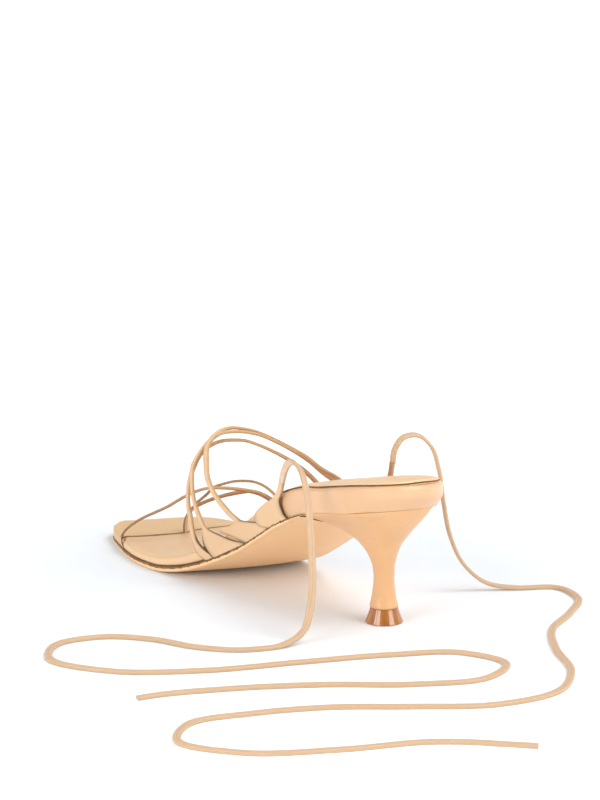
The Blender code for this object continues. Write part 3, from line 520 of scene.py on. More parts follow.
def strap(start, side, run=None, finish=None, far_side=1, lift=0.0, low_lift=0.0,
          width=STRAP, step=0.9, turn=None, flip=False, meet=None, rim=None):
    """Sections of one strap, from its root over the foot to its far root.
    Returns the strap, and the dark rims round its roots: their cut edge, with painted shade of the gap beneath."""
    rows = []

    def root_rows(table, at_side, going_up):
        m = len(table)
        for i, (fy, fu, ry, ru) in enumerate(table):
            s = i / (m - 1) if going_up else 1 - i / (m - 1)
            s = smooth(s)
            thick = ROOT_THICK + (STRAP_THICK - ROOT_THICK) * s
            out = (0.24 + thick / 2 + low_lift) * (1 - s) + (HUG + lift) * s
            lean = LEAN_IN if run and going_up else 0.0
            a, na = wall_point(at_side, fy, fu, out, lean)
            b, nb = wall_point(at_side, ry, ru, out, lean)
            if rows and np.dot(a - b, rows[-1][0] - rows[-1][1]) < 0:
                a, b = b, a
            rows.append((a, b, unit(na + nb), thick, 1 - smooth((s - 0.5) / 0.5)))

    if start:
        root_rows(start, side, True)
    if run:
        mid = np.array(run, float)
        d = np.gradient(mid, axis=0)
        for k, (p, t) in enumerate(zip(mid, d)):
            t = unit(t)
            n = foot_normal(p)
            n = unit(n - t * np.dot(n, t))
            # the turn table's edge darkness rides in the root slot and paints shade on the strap's edges
            wide, thick, dark = width, STRAP_THICK, 0.0
            if turn:
                share, lean, wide, thick, dark = (
                    np.interp(k / (len(mid) - 1), [r[0] for r in turn], [r[i] for r in turn])
                    for i in range(1, 6))
                flat = unit(BROAD - t * np.dot(BROAD, t))
                up = np.cross(t, flat)
                up = up if np.dot(up, n) >= 0 else -up
                n = unit(n * (1 - share) + unit(up + lean * flat) * share)
            b = unit(np.cross(t, n))
            ref = rows[-1][0] - rows[-1][1] if rows else np.array([-1.0, 0.3, 0.0])
            b = b if np.dot(b, ref) >= 0 else -b
            p = p + n * lift
            rows.append((p + b * wide / 2, p - b * wide / 2, -n if flip else n, thick, dark))
    if finish:
        root_rows(finish, far_side, False)
    if meet:
        rows.append(meet)
    data = np.array([np.concatenate([f, r, n, [th, rt]]) for f, r, n, th, rt in rows])
    line = Curve(data)
    t = np.linspace(0, line.t[-1], max(8, int(line.t[-1] / step)))
    d = line.at(t)
    front, rear, normal, thick, root = d[:, :3], d[:, 3:6], d[:, 6:9], d[:, 9], np.clip(d[:, 10], 0, 1)
    rims = []
    if rim:
        shift, high, wide = rim
        reach = (wide * root - 0.5 * (1 - root))[:, None] * unit(front - rear)
        low = unit(normal) * shift
        on = root > 0.03
        for half in (t < line.t[-1] / 2, t >= line.t[-1] / 2):
            pick = on & half
            if pick.sum() > 3:
                rims.append(sweep((front + reach + low)[pick], (rear - reach + low)[pick], normal[pick],
                                  np.full(pick.sum(), high), root[pick], 0.0))
    return sweep(front, rear, normal, thick, root), rims


def tie(rows, side, root):
    """Flat tie along its route; it leaves its root in the root's own plane.
    Returns points, faces, attributes, the middle line and the first section."""
    curve = Curve(rows)
    p = curve.at(np.linspace(0, curve.t[-1], 6000))
    p[:, 2] = np.maximum(p[:, 2], LIE)
    drop = smooth((16.0 - p[:, 2]) / 14.0) * (LIE - REST)
    p[:, 2] = p[:, 2] - drop
    run = np.concatenate([[0], np.cumsum(np.linalg.norm(np.diff(p, axis=0), axis=1))])
    s = np.arange(0, TIE_LENGTH + 0.01, 1.0)
    p = np.column_stack([np.interp(s, run, p[:, k]) for k in range(3)])
    for _ in range(2):
        p[1:-1] = (p[:-2] + 2 * p[1:-1] + p[2:]) / 4
    d = unit(np.gradient(p, axis=0))
    flat = unit(np.cross(d, np.array([0.0, 0.0, 1.0])))
    fy, fu, ry, ru = root
    a, na = wall_point(side, fy, fu, HUG + LIFT)
    b, nb = wall_point(side, ry, ru, HUG + LIFT)
    first = unit((a - b) - d[0] * np.dot(a - b, d[0]))
    wide = np.zeros_like(p)
    wide[0] = first
    for i in range(1, len(p)):
        v = wide[i - 1] - d[i] * np.dot(wide[i - 1], d[i])
        f = flat[i] if np.dot(flat[i], v) >= 0 else -flat[i]
        pull = 0.02 + 0.25 * smooth((40.0 - p[i, 2]) / 30.0)
        if np.linalg.norm(d[i, :2]) < 0.2:
            pull = 0.0
        v = v * (1 - pull) + f * pull
        wide[i] = unit(v - d[i] * np.dot(v, d[i]))
    normal = np.cross(wide, d)
    if np.dot(normal[0], na + nb) < 0:
        normal = -normal
    thick = np.full(len(p), TIE_THICK)
    half = wide * TIE_WIDTH / 2
    verts, faces, attrs = sweep(p + half, p - half, normal, thick, np.zeros(len(p)))
    dip = d[0] * 0.2
    return verts, faces, attrs, p, (p[0] + half[0] + dip, p[0] - half[0] + dip, normal[0], TIE_THICK, 0.0)


# ------------------------------------------------------------------ materials
def node(tree, kind, **inputs):
    n = tree.nodes.new(kind)
    for key, value in inputs.items():
        name = key.replace("_", " ")
        n.inputs[name].default_value = value
    return n


def attribute(tree, name):
    n = tree.nodes.new("ShaderNodeAttribute")
    n.attribute_name = name
    return n.outputs["Fac"]


def mix(tree, factor, a, b):
    """Colour mix; each argument is a socket or a constant."""
    n = tree.nodes.new("ShaderNodeMix")
    n.data_type = "RGBA"
    for socket, value in ((n.inputs[0], factor), (n.inputs[6], a), (n.inputs[7], b)):
        if hasattr(value, "is_output"):
            tree.links.new(value, socket)
        elif isinstance(value, (int, float)):
            socket.default_value = value
        else:
            socket.default_value = (*value, 1.0)
    return n.outputs[2]


def ranged(tree, value, a, b, lo, hi):
    n = tree.nodes.new("ShaderNodeMapRange")
    tree.links.new(value, n.inputs[0])
    for i, x in enumerate((a, b, lo, hi)):
        n.inputs[i + 1].default_value = x
    return n.outputs[0]


def leather(name, light, dark, rough, grain=1.0, pores=2300.0, crease=0.5, coat=0.0,
            sheen=0.0, edge=None, root_edge_shade=None, inner=None, bands=None):
    """Smooth finished leather: mottled colour, fine pores, soft creases."""
    mat = bpy.data.materials.new(name)
    mat.use_nodes = True
    t = mat.node_tree
    shader = t.nodes["Principled BSDF"]
    shader.inputs["Metallic"].default_value = 0.0
    shader.inputs["IOR"].default_value = 1.45
    shader.inputs["Coat Weight"].default_value = coat
    shader.inputs["Coat Roughness"].default_value = 0.28
    shader.inputs["Sheen Weight"].default_value = sheen
    place_at = t.nodes.new("ShaderNodeTexCoord").outputs["Object"]

    def noise(scale, detail, roughness, distortion=0.0):
        n = node(t, "ShaderNodeTexNoise", Scale=scale, Detail=detail, Roughness=roughness,
                 Distortion=distortion)
        t.links.new(place_at, n.inputs["Vector"])
        return n.outputs["Fac"]

    broad = noise(34.0, 3.0, 0.55, 0.4)
    fine = noise(420.0, 4.0, 0.6)
    colour = mix(t, ranged(t, broad, 0.34, 0.68, 0.0, 1.0), light, dark)
    speck = tuple(c * 0.93 for c in dark)
    colour = mix(t, ranged(t, fine, 0.56, 0.78, 0.0, 0.5), colour, speck)
    if inner is not None:
        colour = mix(t, attribute(t, "inner"), colour, inner)
    if edge is not None:
        # edges darken towards the root colour where the root attribute rises; that darkness is painted shade
        rim = edge if root_edge_shade is None else mix(t, attribute(t, "root"), edge, root_edge_shade)
        fray = ranged(t, noise(900.0, 3.0, 0.6), 0.3, 0.7, 0.75, 1.0)
        m = t.nodes.new("ShaderNodeMath")
        m.operation = "MULTIPLY"
        t.links.new(attribute(t, "edge"), m.inputs[0])
        t.links.new(fray, m.inputs[1])
        colour = mix(t, m.outputs[0], colour, rim)
    t.links.new(colour, shader.inputs["Base Color"])
    t.links.new(ranged(t, noise(160.0, 4.0, 0.65), 0.3, 0.7, rough - 0.07, rough + 0.08),
                shader.inputs["Roughness"])

    cells = t.nodes.new("ShaderNodeTexVoronoi")
    cells.feature = "DISTANCE_TO_EDGE"
    cells.inputs["Scale"].default_value = pores
    warp = t.nodes.new("ShaderNodeVectorMath")
    warp.operation = "MULTIPLY_ADD"
    t.links.new(place_at, warp.inputs[0])
    warp.inputs[1].default_value = (1, 1, 1)
    jitter = node(t, "ShaderNodeTexNoise", Scale=700.0, Detail=2.0)
    t.links.new(place_at, jitter.inputs["Vector"])
    small = t.nodes.new("ShaderNodeVectorMath")
    small.operation = "SCALE"
    t.links.new(jitter.outputs["Color"], small.inputs[0])
    small.inputs["Scale"].default_value = 0.0006
    t.links.new(small.outputs[0], warp.inputs[2])
    t.links.new(warp.outputs[0], cells.inputs["Vector"])
    pore = ranged(t, cells.outputs["Distance"], 0.0, 0.16, 0.0, 1.0)
    bump1 = node(t, "ShaderNodeBump", Strength=0.16 * grain, Distance=0.00012)
    t.links.new(pore, bump1.inputs["Height"])
    bump2 = node(t, "ShaderNodeBump", Strength=0.25 * crease, Distance=0.0006)
    t.links.new(noise(95.0, 5.0, 0.6, 1.2), bump2.inputs["Height"])
    t.links.new(bump1.outputs[0], bump2.inputs["Normal"])
    t.links.new(bump2.outputs[0], shader.inputs["Normal"])
    return mat


def raw_edge(name, light, dark, tan):
    """Cut leather edge: brown, fibrous, rough, worn to tan where fade rises."""
    mat = bpy.data.materials.new(name)
    mat.use_nodes = True
    t = mat.node_tree
    shader = t.nodes["Principled BSDF"]
    place_at = t.nodes.new("ShaderNodeTexCoord").outputs["Object"]
    n1 = node(t, "ShaderNodeTexNoise", Scale=520.0, Detail=5.0, Roughness=0.7)
    n2 = node(t, "ShaderNodeTexNoise", Scale=130.0, Detail=3.0, Roughness=0.6)
    for n in (n1, n2):
        t.links.new(place_at, n.inputs["Vector"])
    colour = mix(t, ranged(t, n1.outputs["Fac"], 0.38, 0.64, 0.0, 1.0), dark, light)
    colour = mix(t, ranged(t, n2.outputs["Fac"], 0.42, 0.66, 0.0, 0.75), colour, dark)
    colour = mix(t, attribute(t, "fade"), colour, tan)
    t.links.new(colour, shader.inputs["Base Color"])
    t.links.new(ranged(t, n1.outputs["Fac"], 0.3, 0.7, 0.68, 0.9), shader.inputs["Roughness"])
    bump = node(t, "ShaderNodeBump", Strength=0.6, Distance=0.0004)
    t.links.new(n1.outputs["Fac"], bump.inputs["Height"])
    t.links.new(bump.outputs[0], shader.inputs["Normal"])
    return mat


def tip_plastic(name):
    """Glossy caramel top piece with faint upright streaks."""
    mat = bpy.data.materials.new(name)
    mat.use_nodes = True
    t = mat.node_tree
    shader = t.nodes["Principled BSDF"]
    shader.inputs["IOR"].default_value = 1.5
    shader.inputs["Coat Weight"].default_value = 0.8
    shader.inputs["Coat Roughness"].default_value = 0.06
    coord = t.nodes.new("ShaderNodeTexCoord").outputs["Object"]
    stretch = t.nodes.new("ShaderNodeMapping")
    stretch.inputs["Scale"].default_value = (1.0, 1.0, 0.12)
    t.links.new(coord, stretch.inputs["Vector"])
    streak = node(t, "ShaderNodeTexNoise", Scale=330.0, Detail=4.0, Roughness=0.6)
    t.links.new(stretch.outputs[0], streak.inputs["Vector"])
    colour = mix(t, ranged(t, streak.outputs["Fac"], 0.32, 0.7, 0.0, 1.0),
                 (0.47, 0.175, 0.034), (0.33, 0.11, 0.02))
    t.links.new(colour, shader.inputs["Base Color"])
    scuff = node(t, "ShaderNodeTexNoise", Scale=700.0, Detail=3.0, Roughness=0.6)
    t.links.new(coord, scuff.inputs["Vector"])
    t.links.new(ranged(t, scuff.outputs["Fac"], 0.3, 0.75, 0.10, 0.24), shader.inputs["Roughness"])
    bump = node(t, "ShaderNodeBump", Strength=0.05, Distance=0.0002)
    t.links.new(streak.outputs["Fac"], bump.inputs["Height"])
    t.links.new(bump.outputs[0], shader.inputs["Normal"])
    return mat


STRAP_EDGE = (0.50, 0.29, 0.13)
# very dark colour for the root panels' edges: their cut edge darkened with painted shade of the step and gap at
# the panel edges
ROOT_EDGE_SHADE = (0.11, 0.058, 0.023)
BED_LEATHER = leather("footbed_leather", (0.73, 0.445, 0.245), (0.70, 0.415, 0.22), 0.33, coat=0.5)
SOCK_LEATHER = leather("insole_leather", (0.83, 0.565, 0.33), (0.80, 0.53, 0.30), 0.44, crease=0.7)
TOE_LEATHER = leather("toe_leather", (0.76, 0.495, 0.255), (0.725, 0.465, 0.235), 0.46, crease=0.7)
SOLE_LEATHER = leather("outsole_leather", (0.97, 0.61, 0.325), (0.935, 0.58, 0.30), 0.5, grain=0.8,
                       pores=1900.0, crease=0.4)
HEEL_LEATHER = leather("heel_leather", (0.77, 0.44, 0.212), (0.74, 0.415, 0.193), 0.34, grain=0.7,
                       crease=0.3, coat=0.22)
# straps: the much darker inner colour is painted shade on the faces that turn away from the light
BAND = leather("strap_leather", (0.75, 0.495, 0.29), (0.72, 0.465, 0.265), 0.42, crease=0.6,
               edge=STRAP_EDGE, root_edge_shade=ROOT_EDGE_SHADE, inner=(0.42, 0.20, 0.085))
TIE_LEATHER = leather("tie_leather", (0.70, 0.52, 0.36), (0.675, 0.495, 0.335), 0.44, crease=0.6,
                      edge=(0.58, 0.38, 0.22), root_edge_shade=ROOT_EDGE_SHADE, inner=(0.63, 0.43, 0.27))
RAW = raw_edge("raw_edge", (0.42, 0.23, 0.09), (0.13, 0.065, 0.025), (0.60, 0.37, 0.17))
# dark cut-edge colour for the seam lines; on the strap root rims and the root gap thread it is painted shade
SEAM_EDGE_AND_SHADE = raw_edge("seam_edge_and_shade", (0.24, 0.125, 0.05), (0.10, 0.052, 0.022), (0.24, 0.125, 0.05))
TOE_EDGE = raw_edge("toe_edge", (0.37, 0.21, 0.09), (0.20, 0.108, 0.045), (0.37, 0.21, 0.09))
SOCK_EDGE = raw_edge("insole_edge", (0.27, 0.125, 0.03), (0.075, 0.034, 0.008), (0.60, 0.37, 0.17))
TIP_MAT = tip_plastic("tip_plastic")


# --------------------------------------------------------------------- ties
MEET = {}                     # first section of each tie, for its root


def make_ties():
    made = []
    for name, rows, cad, side, root in (
            ("tie_strap_inner", TIE_IN, "tie_inner", -1, ROOT_TIE_IN[-1]),
            ("tie_strap_outer", TIE_OUT, "tie_outer", 1, ROOT_TIE_OUT[-1])):
        verts, faces, attrs, line, MEET[side] = tie(rows, side, root)
        obj = build(name, verts, faces, [TIE_LEATHER], None, attrs, (cad,), cad)
        place([rows[0]])[0]
        place(line[::3]).tolist()
        made.append(obj)
    return made


# ------------------------------------------------------------------- pieces
def ripple(side, s):
    return wobble(s, 1.0 + side, (46.0, 0.09), (21.0, 0.05))


def make_footbed():
    def draw_in(y, h):
        """The wall's lower edge draws in, most of all round the back."""
        back = smooth((38.0 - y) / 32.0)
        f = np.clip(1 - h / 0.6, 0, 1)
        side = 0.5 * (1 - np.sqrt(np.maximum(0.0, 1 - f * f)))
        return side * (1 - back) + 3.2 * back * np.clip(1 - h / 7.5, 0, 1)**1.7

    def wall(h, swell=0.0):
        return lambda side, y, s: swell - draw_in(y, h) + ripple(side, s) * (h > 0) + bed_out(side, y)

    def above(h):
        return lambda x, y: seam(x, y) + 0.02 + np.minimum(h, 0.35 * depth(x, y))

    def share(f):
        def height(x, y):
            d = depth(x, y)
            return seam(x, y) + f * (d - np.minimum(EDGE_ROUND, 0.5 * d))
        return height

    def rounded(angle):
        def height(x, y):
            d = depth(x, y)
            r = np.minimum(EDGE_ROUND, 0.5 * d)
            return seam(x, y) + d - r + r * np.sin(angle)
        return height

    levels = [(wall(h), above(h), "wall") for h in (0.0, 0.25, 0.6, 1.1, 1.7, 2.4, 3.2)]
    levels += [(wall(4.4, 0.12), share(0.42), "wall"), (wall(6.1, 0.2), share(0.58), "wall"),
               (wall(8.0, 0.16), share(0.76), "wall"), (wall(9.4, 0.08), share(0.9), "wall")]
    for a in np.linspace(0, np.pi / 2, 10):
        drop = EDGE_ROUND * (1 - np.cos(a))
        levels.append((lambda side, y, s, o=drop: ripple(side, s) + bed_out(side, y) - o, rounded(a), "round"))
    verts, faces, tags = slab(levels, lambda x, y: seam(x, y) + 0.02, top, 340, 26,
                              (None, None), (None, None))
    return build("footbed_wrap", verts, faces, [BED_LEATHER], None, None, ("footbed",), "footbed")


def seat(y):
    return smooth((124.0 - np.asarray(y, float)) / 36.0)


def cover_path(skin):
    """Offsets and heights of a leather cover that goes over the forefoot's
    rounded edge and down its wall, skin thick."""
    def wall(f, out):
        def height(x, y):
            d = depth(x, y)
            return seam(x, y) + 0.1 + f * (d - np.minimum(EDGE_ROUND, 0.5 * d) - 0.1)
        return (lambda side, y, s: skin + out + ripple(side, s) + bed_out(side, y)), height

    def bend(angle):
        def height(x, y):
            d = depth(x, y)
            r = np.minimum(EDGE_ROUND, 0.5 * d)
            return seam(x, y) + d - r + (r + skin) * np.sin(angle)

        def offset(side, y, s):
            return (EDGE_ROUND + skin) * np.cos(angle) - EDGE_ROUND + ripple(side, s) + bed_out(side, y)
        return offset, height

    return [wall(0.0, -0.1), wall(0.35, 0.1), wall(0.75, 0.08)] + [
        bend(a) for a in np.radians([0, 18, 36, 54, 72, 90])]


def rise(x, y, edge, full, ramp):
    gap = (1 - np.abs(across(x, y))) * half_width(y) - 1.9
    return edge + (full - edge) * smooth(gap / ramp)


def make_insole():
    """Leather sock: a raw edge shows round the seat; in the forefoot it goes
    over the edge and down the wall."""
    skin, lip = 0.22, 0.95

    def inset(side, y, s):
        return -1.55 + wobble(s, 2.0 + side, (9.0, 0.05), (3.4, 0.035))

    def high(x, y):
        q = seat(y)
        h = rise(x, y, lip * q + skin * (1 - q), 1.6 * q + 0.5 * (1 - q), 4.0 * q + 26.0 * (1 - q))
        return top(x, y) + 0.02 + h

    levels = []
    fore = cover_path(skin)
    near = [(0.0, 0.0), (0.03, .15), (0.05, .35), (0.04, .55), (0.0, .72), (-0.06, .84),
            (-0.14, .93), (-0.26, .98), (-0.42, 1.0)]
    for k, ((out, f), (o_fore, z_fore)) in enumerate(zip(near, fore)):
        def offset(side, y, s, out=out, o_fore=o_fore):
            q = seat(y)
            return q * (inset(side, y, s) + out) + (1 - q) * o_fore(side, y, s)

        def height(x, y, f=f, z_fore=z_fore):
            q = seat(y)
            return q * (top(x, y) - 0.05 + f * (lip + 0.07)) + (1 - q) * z_fore(x, y)
        levels.append((offset, high if k == len(near) - 1 else height, "edge" if k < 5 else "round"))
    verts, faces, tags = slab(levels, lambda x, y: top(x, y) - 0.4, high, 320, 34,
                              (None, SOCK_FRONT_IN + 1.5), (None, SOCK_FRONT_OUT + 1.5), SOCK_BOW,
                              SOCK_SLANT)
    mid_y = np.array([np.mean([verts[int(i), 1] for i in f]) for f in faces])
    marks = [1 if t == "edge" and y < 100 else 0 for t, y in zip(tags, mid_y)]
    return build("insole_sock", verts, faces, [SOCK_LEATHER, SOCK_EDGE], marks, None, ("insole",), "insole")


def make_toe_panel():
    """Toe end of the leather cover: its raw rear edge lies over the sock."""
    skin = 0.5

    def high(x, y):
        back = smooth((y - 200.0) / 30.0)
        return top(x, y) + 0.02 + rise(x, y, skin, 0.95 - 0.3 * back, 20.0)

    levels = [(o, z, "wrap") for o, z in cover_path(skin)]
    levels[-1] = (levels[-1][0], high, "wrap")
    verts, faces, tags = slab(levels, lambda x, y: top(x, y) - 0.4, high, 150, 34,
                              (SOCK_FRONT_IN, None), (SOCK_FRONT_OUT, None), SOCK_BOW, SOCK_SLANT)
    marks = [1 if t == "cut" else 0 for t in tags]
    return build("toe_panel", verts, faces, [TOE_LEATHER, TOE_EDGE], marks, None, ("footbed",), "footbed")


def make_outsole():
    def upper(x, y):
        return seam(x, y) - 0.06

    def thinned(x, y, z):
        """The sole is skived to a thin edge where it meets the heel."""
        k = skive(x, y)
        k = k + (1 - k) * smooth((np.asarray(y, float) - SOLE_REAR) / SKIVE_LONG)
        return upper(x, y) - (upper(x, y) - z) * k

    def lower(x, y):
        z = np.minimum(under(x, y), seam(x, y) - 1.9)
        return np.maximum(thinned(x, y, z), 0.0)

    def floor_side(x, y):
        return np.maximum(thinned(x, y, under(x, y)), 0.0)

    def slim(x, y):
        k = smooth((np.asarray(y, float) - SOLE_REAR) / SKIVE_LONG)
        return np.minimum(1.0, seam(x, y) / 2.8) * (0.4 + 0.6 * k)

    def lift(base, up):
        return lambda x, y: np.minimum(base(x, y) + up, upper(x, y) - 1.4 * slim(x, y))

    def jag(amount, size):
        def offset(side, y, s):
            return amount + wobble(s, 3.0 + side, (7.3, size), (3.1, size), (1.3, .8 * size))
        return offset

    def torn(down, size):
        def height(x, y):
            s = y + 0.4 * x
            thin = slim(x, y)
            return upper(x, y) - down * thin + thin * wobble(s, 5.0, (5.7, size), (2.3, size), (1.1, .7 * size))
        return height

    levels = [(jag(LEDGE - 1.3, 0), lower, "tan"), (jag(LEDGE - 0.55, 0), lift(lower, 0.14), "tan"),
              (jag(LEDGE - 0.12, 0), lift(lower, 0.4), "tan"), (jag(LEDGE, 0), lift(lower, 0.75), "tan"),
              (jag(LEDGE, 0.03), torn(1.25, 0.13), "raw"), (jag(LEDGE - 0.02, 0.08), torn(0.55, 0.14), "raw"),
              (jag(LEDGE - 0.35, 0.1), torn(0.04, 0.07), "raw"), (0.25, upper, "raw"), (-1.0, upper, "raw")]
    verts, faces, tags = slab(levels, floor_side, upper, 520, 24, (SOLE_REAR, None), (SOLE_REAR, None))
    marks = [1 if t == "raw" else 0 for t in tags]
    fade = 0.25 * smooth((verts[:, 1] - 196.0) / 30.0)
    return build("outsole_leather_sole", verts, faces, [SOLE_LEATHER, RAW], marks, {"fade": fade},
                 ("outsole",), "outsole")


def heel_ring(height, theta):
    w, back, front, square_b, square_f = (column(HEEL, k, height) for k in range(1, 6))
    s, c = np.sin(theta), np.cos(theta)
    k = 2.0 / (square_b + (square_f - square_b) * smooth(1.5 * c))
    x = w * np.sign(s) * np.abs(s)**k
    y = np.where(c > 0, front, back) * np.sign(c) * np.abs(c)**k
    tilt = SHEAR * smooth((height - SHEAR_FROM) / (SHEAR_FULL - SHEAR_FROM))
    return x, HEEL_Y + y, height - tilt * y


def make_heel():
    sides, rings = 176, 84
    theta = np.linspace(0, 2 * np.pi, sides, endpoint=False)
    theta = theta - 0.55 * np.sin(2 * theta) * (np.cos(theta) > 0)
    lo, hi = np.full(sides, 20.0), np.full(sides, HEEL[-1][0])
    for _ in range(40):
        mid = (lo + hi) / 2
        x, y, z = heel_ring(mid, theta)
        below = z < seam(x, y) - 0.08
        lo, hi = np.where(below, mid, lo), np.where(below, hi, mid)
    loops = []
    for f in np.linspace(0, 1, rings):
        loops.append(np.column_stack(heel_ring(HEEL[0][0] + (lo - HEEL[0][0]) * f**0.92, theta)))
    x, y, z = heel_ring(lo, theta)
    for f in (0.94, 0.7, 0.35):
        xi, yi = x * f, HEEL_Y + (y - HEEL_Y) * f
        loops.append(np.column_stack([xi, yi, seam(xi, yi) - 0.08]))
    verts = np.vstack(loops)
    faces = []
    for i in range(len(loops) - 1):
        for j in range(sides):
            j1 = (j + 1) % sides
            faces.append((i * sides + j, i * sides + j1, (i + 1) * sides + j1, (i + 1) * sides + j))
    faces.append(tuple(range(sides)))
    last = (len(loops) - 1) * sides
    faces.append(tuple(range(last, last + sides)))
    return build("heel_block", verts, faces, [HEEL_LEATHER], None, None, ("heel",), "heel")


def make_tip():
    sides = 112
    theta = np.linspace(0, 2 * np.pi, sides, endpoint=False)
    rows = [r for r in TIP if r[0] > 0]
    verts = np.vstack([np.column_stack([r * np.cos(theta), HEEL_Y + r * np.sin(theta),
                                        np.full(sides, z)]) for r, z in rows])
    faces = []
    for i in range(len(rows) - 1):
        for j in range(sides):
            j1 = (j + 1) % sides
            faces.append((i * sides + j, i * sides + j1, (i + 1) * sides + j1, (i + 1) * sides + j))
    faces.append(tuple(range(sides)))
    last = (len(rows) - 1) * sides
    faces.append(tuple(range(last, last + sides)))
    return build("heel_top_piece", verts, faces, [TIP_MAT], None, None, ("heel_tip",), "heel_tip")


def make_straps():
    made = []
    # rims: shift, height and reach of the dark rim round each root, which paints the shade of the gap beneath
    # the root panels
    low, over, tied = (-0.3, 0.3, 0.5), (0.38, 0.16, 0.5), (0.18, 0.26, 0.16)
    for name, (parts, rims), cad in (
            ("strap_first", strap(ROOT_S1, -1, RUN_S1, ROOT_A3, turn=TURN_S1, rim=low), "instep_straps"),
            ("strap_second", strap(ROOT_S2, -1, RUN_S2, lift=LIFT, low_lift=0.2, turn=TURN_S2, rim=over),
             "instep_straps"),
            ("strap_third", strap(ROOT_S3, -1, RUN_S3, ROOT_A1, rim=low), "instep_straps"),
            ("tie_root_inner", strap(ROOT_TIE_IN, -1, lift=LIFT, low_lift=0.45, meet=MEET[-1], rim=tied),
             "instep_straps"),
            ("tie_root_outer", strap(ROOT_TIE_OUT, 1, lift=LIFT, low_lift=0.45, meet=MEET[1], rim=tied),
             "instep_straps"),
            ("toe_strap", strap(None, -1, RUN_B1, ROOT_B_OUT, turn=TURN_B1), "toe_straps"),
            ("toe_post", strap(None, 1, RUN_B2, lift=-0.7, turn=TURN_B2, flip=True), "toe_straps"),
            ("toe_branch", strap(None, 1, RUN_B3, lift=-0.35, turn=TURN_B3), "toe_straps")):
        verts, faces, attrs = parts
        made.append(build(name, verts, faces, [BAND], None, attrs, (cad,), cad))
        for k, (verts, faces, attrs) in enumerate(rims):
            made.append(build(name + "_shade_rim_" + str(k), verts, faces, [SEAM_EDGE_AND_SHADE], None, None, (cad,), cad))
    return made


SEAM_CURL = [  # seam's end over the toe's inner edge: x, y, z, radius
    (-24.0, 214.4, 7.55, 0.16), (-26.6, 215.5, 7.6, 0.24), (-28.3, 215.9, 7.45, 0.34),
    (-29.5, 215.9, 6.6, 0.42), (-30.25, 215.6, 5.3, 0.44), (-30.95, 214.0, 4.1, 0.4),
    (-31.6, 212.0, 3.2, 0.34), (-31.9, 211.0, 2.6, 0.3)]
ROOT_GAP_SHADE = [  # painted shade: a dark thread laid in the gap between the first two straps' roots: x, y, z, radius
    (-31.75, 139.6, 19.3, 0.55), (-31.55, 139.1, 18.7, 0.72), (-31.2, 137.9, 17.4, 0.62),
    (-30.72, 135.9, 15.75, 0.4), (-29.95, 132.7, 14.75, 0.15)]
SOLE_LAP = [(-25.8, 0.26), (-22.5, 0.3), (-19.0, 0.28), (-15.0, 0.2), (-11.0, 0.08)]   # x, radius


def bead(name, points, radii, cad):
    """Dark thin round thread: a cut edge's line, and in the root gap painted shade."""
    line = Curve(np.column_stack([points, radii]))
    d = line.at(np.linspace(0, line.t[-1], 60))
    p, r = d[:, :3], d[:, 3]
    t = unit(np.gradient(p, axis=0))
    side = unit(np.cross(t, np.array([0.2, 0.9, 0.4])))
    other = np.cross(t, side)
    turns = np.linspace(0, 2 * np.pi, 10, endpoint=False)
    verts = np.stack([p + r[:, None] * (np.cos(a) * side + np.sin(a) * other) for a in turns], 1).reshape(-1, 3)
    faces = []
    for i in range(len(p) - 1):
        for j in range(10):
            j1 = (j + 1) % 10
            faces.append((i * 10 + j, i * 10 + j1, (i + 1) * 10 + j1, (i + 1) * 10 + j))
    faces.append(tuple(range(10)))
    faces.append(tuple(range(len(verts) - 10, len(verts))))
    return build(name, verts, faces, [SEAM_EDGE_AND_SHADE], None, None, (cad,), cad)


def make_lines():
    curl = np.array(SEAM_CURL)
    bead("toe_seam_end", curl[:, :3], curl[:, 3], "footbed")
    gap = np.array(ROOT_GAP_SHADE)
    # painted shade: dark thread in the gap between the first two strap roots
    bead("root_gap_shade", gap[:, :3], gap[:, 3], "footbed")
    x, r = np.array(SOLE_LAP).T
    y = np.full(len(x), SOLE_REAR - 0.2)
    z = seam(x, y) - skive(x, y) * (seam(x, y) - under(x, y)) - 0.05
    bead("sole_lap", np.column_stack([x, y, z]), r, "outsole")


# -------------------------------------------------------- camera, light, floor
def make_camera():
    data = bpy.data.cameras.new("camera")
    data.sensor_width = 36.0
    data.lens = 130.41
    data.clip_start, data.clip_end = 0.05, 60.0
    cam = bpy.data.objects.new("camera", data)
    bpy.context.scene.collection.objects.link(cam)
    right = Vector((0.79864, -0.60182, 0.0))
    ahead = Vector((0.58801, 0.78031, -0.21303))
    up = right.cross(ahead)
    m = Matrix((right, up, -ahead)).transposed().to_4x4()
    m.translation = Vector(place([(-841.9, -1016.8, 402.65)])[0])
    cam.matrix_world = m
    bpy.context.scene.camera = cam


def area(name, spot, aim, size, power, colour=(1, 1, 1)):
    data = bpy.data.lights.new(name, "AREA")
    data.shape = "RECTANGLE"
    data.size, data.size_y = size
    data.energy = power
    data.color = colour
    obj = bpy.data.objects.new(name, data)
    bpy.context.scene.collection.objects.link(obj)
    obj.location = spot
    obj.rotation_mode = "QUATERNION"
    obj.rotation_quaternion = (Vector(aim) - Vector(spot)).to_track_quat("-Z", "Y")
    return obj


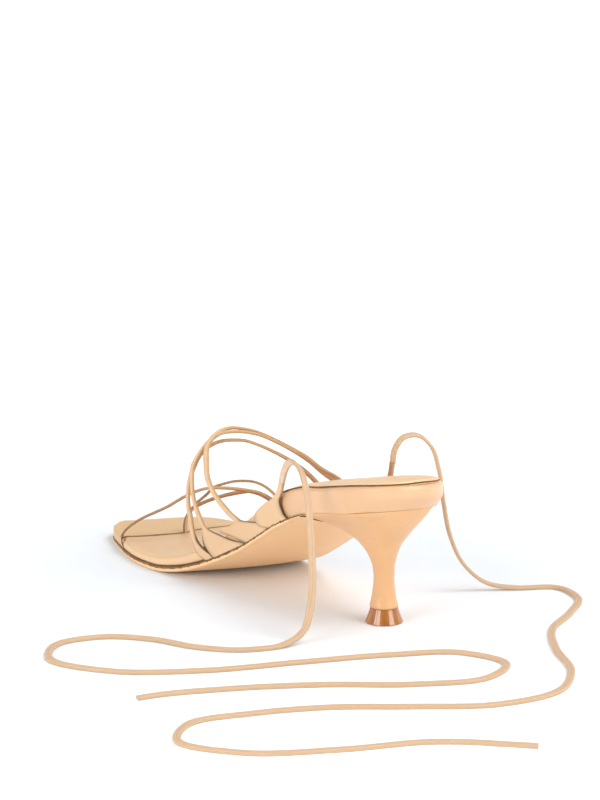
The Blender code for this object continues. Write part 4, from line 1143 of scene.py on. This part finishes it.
def make_stage():
    mesh = bpy.data.meshes.new("floor")
    r = 14.0
    mesh.from_pydata([(-r, -r, 0), (r, -r, 0), (r, r, 0), (-r, r, 0)], [], [(0, 1, 2, 3)])
    floor = bpy.data.objects.new("floor", mesh)
    bpy.context.scene.collection.objects.link(floor)
    mat = bpy.data.materials.new("studio_floor")
    mat.use_nodes = True
    t = mat.node_tree
    shader = t.nodes["Principled BSDF"]
    n = node(t, "ShaderNodeTexNoise", Scale=9.0, Detail=2.0)
    colour = mix(t, n.outputs["Fac"], (0.86, 0.895, 0.935), (0.865, 0.90, 0.94))
    t.links.new(colour, shader.inputs["Base Color"])
    shader.inputs["Roughness"].default_value = 0.9
    shader.inputs["Specular IOR Level"].default_value = 0.1
    shader.inputs["Emission Color"].default_value = (1.0, 1.0, 1.0, 1.0)
    # painted light: the floor glows more the further it lies from the shoe, so the far floor stays white while
    # the shade near the shoe stays
    far = t.nodes.new("ShaderNodeVectorMath")
    far.operation = "LENGTH"
    t.links.new(t.nodes.new("ShaderNodeTexCoord").outputs["Object"], far.inputs[0])
    t.links.new(ranged(t, far.outputs["Value"], 0.11, 0.42, 0.0, 0.5), shader.inputs["Emission Strength"])
    mesh.materials.append(mat)

    world = bpy.data.worlds.new("studio") if bpy.context.scene.world is None else bpy.context.scene.world
    bpy.context.scene.world = world
    world.use_nodes = True
    back = world.node_tree.nodes["Background"]
    back.inputs["Color"].default_value = (1.0, 1.0, 1.0, 1.0)
    # the studio is dark round the direction the picture is taken from
    wt = world.node_tree
    side = wt.nodes.new("ShaderNodeVectorMath")
    side.operation = "DOT_PRODUCT"
    wt.links.new(wt.nodes.new("ShaderNodeTexCoord").outputs["Generated"], side.inputs[0])
    side.inputs[1].default_value = (-0.55, -0.735, 0.39)
    tall = wt.nodes.new("ShaderNodeSeparateXYZ")
    wt.links.new(side.inputs[0].links[0].from_socket, tall.inputs[0])
    both = wt.nodes.new("ShaderNodeMath")
    both.operation = "ADD"
    wt.links.new(ranged(wt, side.outputs["Value"], 0.82, 0.95, 0.60, 0.10), both.inputs[0])
    wt.links.new(ranged(wt, tall.outputs["Z"], 0.10, 0.28, 0.42, 0.0), both.inputs[1])
    wt.links.new(both.outputs[0], back.inputs["Strength"])
    area("key", (0.88, -1.20, 2.40), (0.0, 0.0, 0.03), (1.44, 1.44), 35.9)
    area("strip_left", (-1.16, -0.16, 0.46), (0.0, -0.06, 0.05), (0.8, 0.55), 7.2)
    area("strip_right", (0.28, -1.17, 0.48), (0.0, -0.06, 0.05), (0.66, 0.45), 4.2)
    view = bpy.context.scene.view_settings
    view.view_transform = "Standard"
    view.look = "None"
    view.exposure = 0.0
    view.gamma = 1.0


make_camera()
make_ties()
make_footbed()
make_insole()
make_toe_panel()
make_outsole()
make_heel()
make_tip()
make_straps()
make_lines()
make_stage()

bpy.context.view_layer.update()
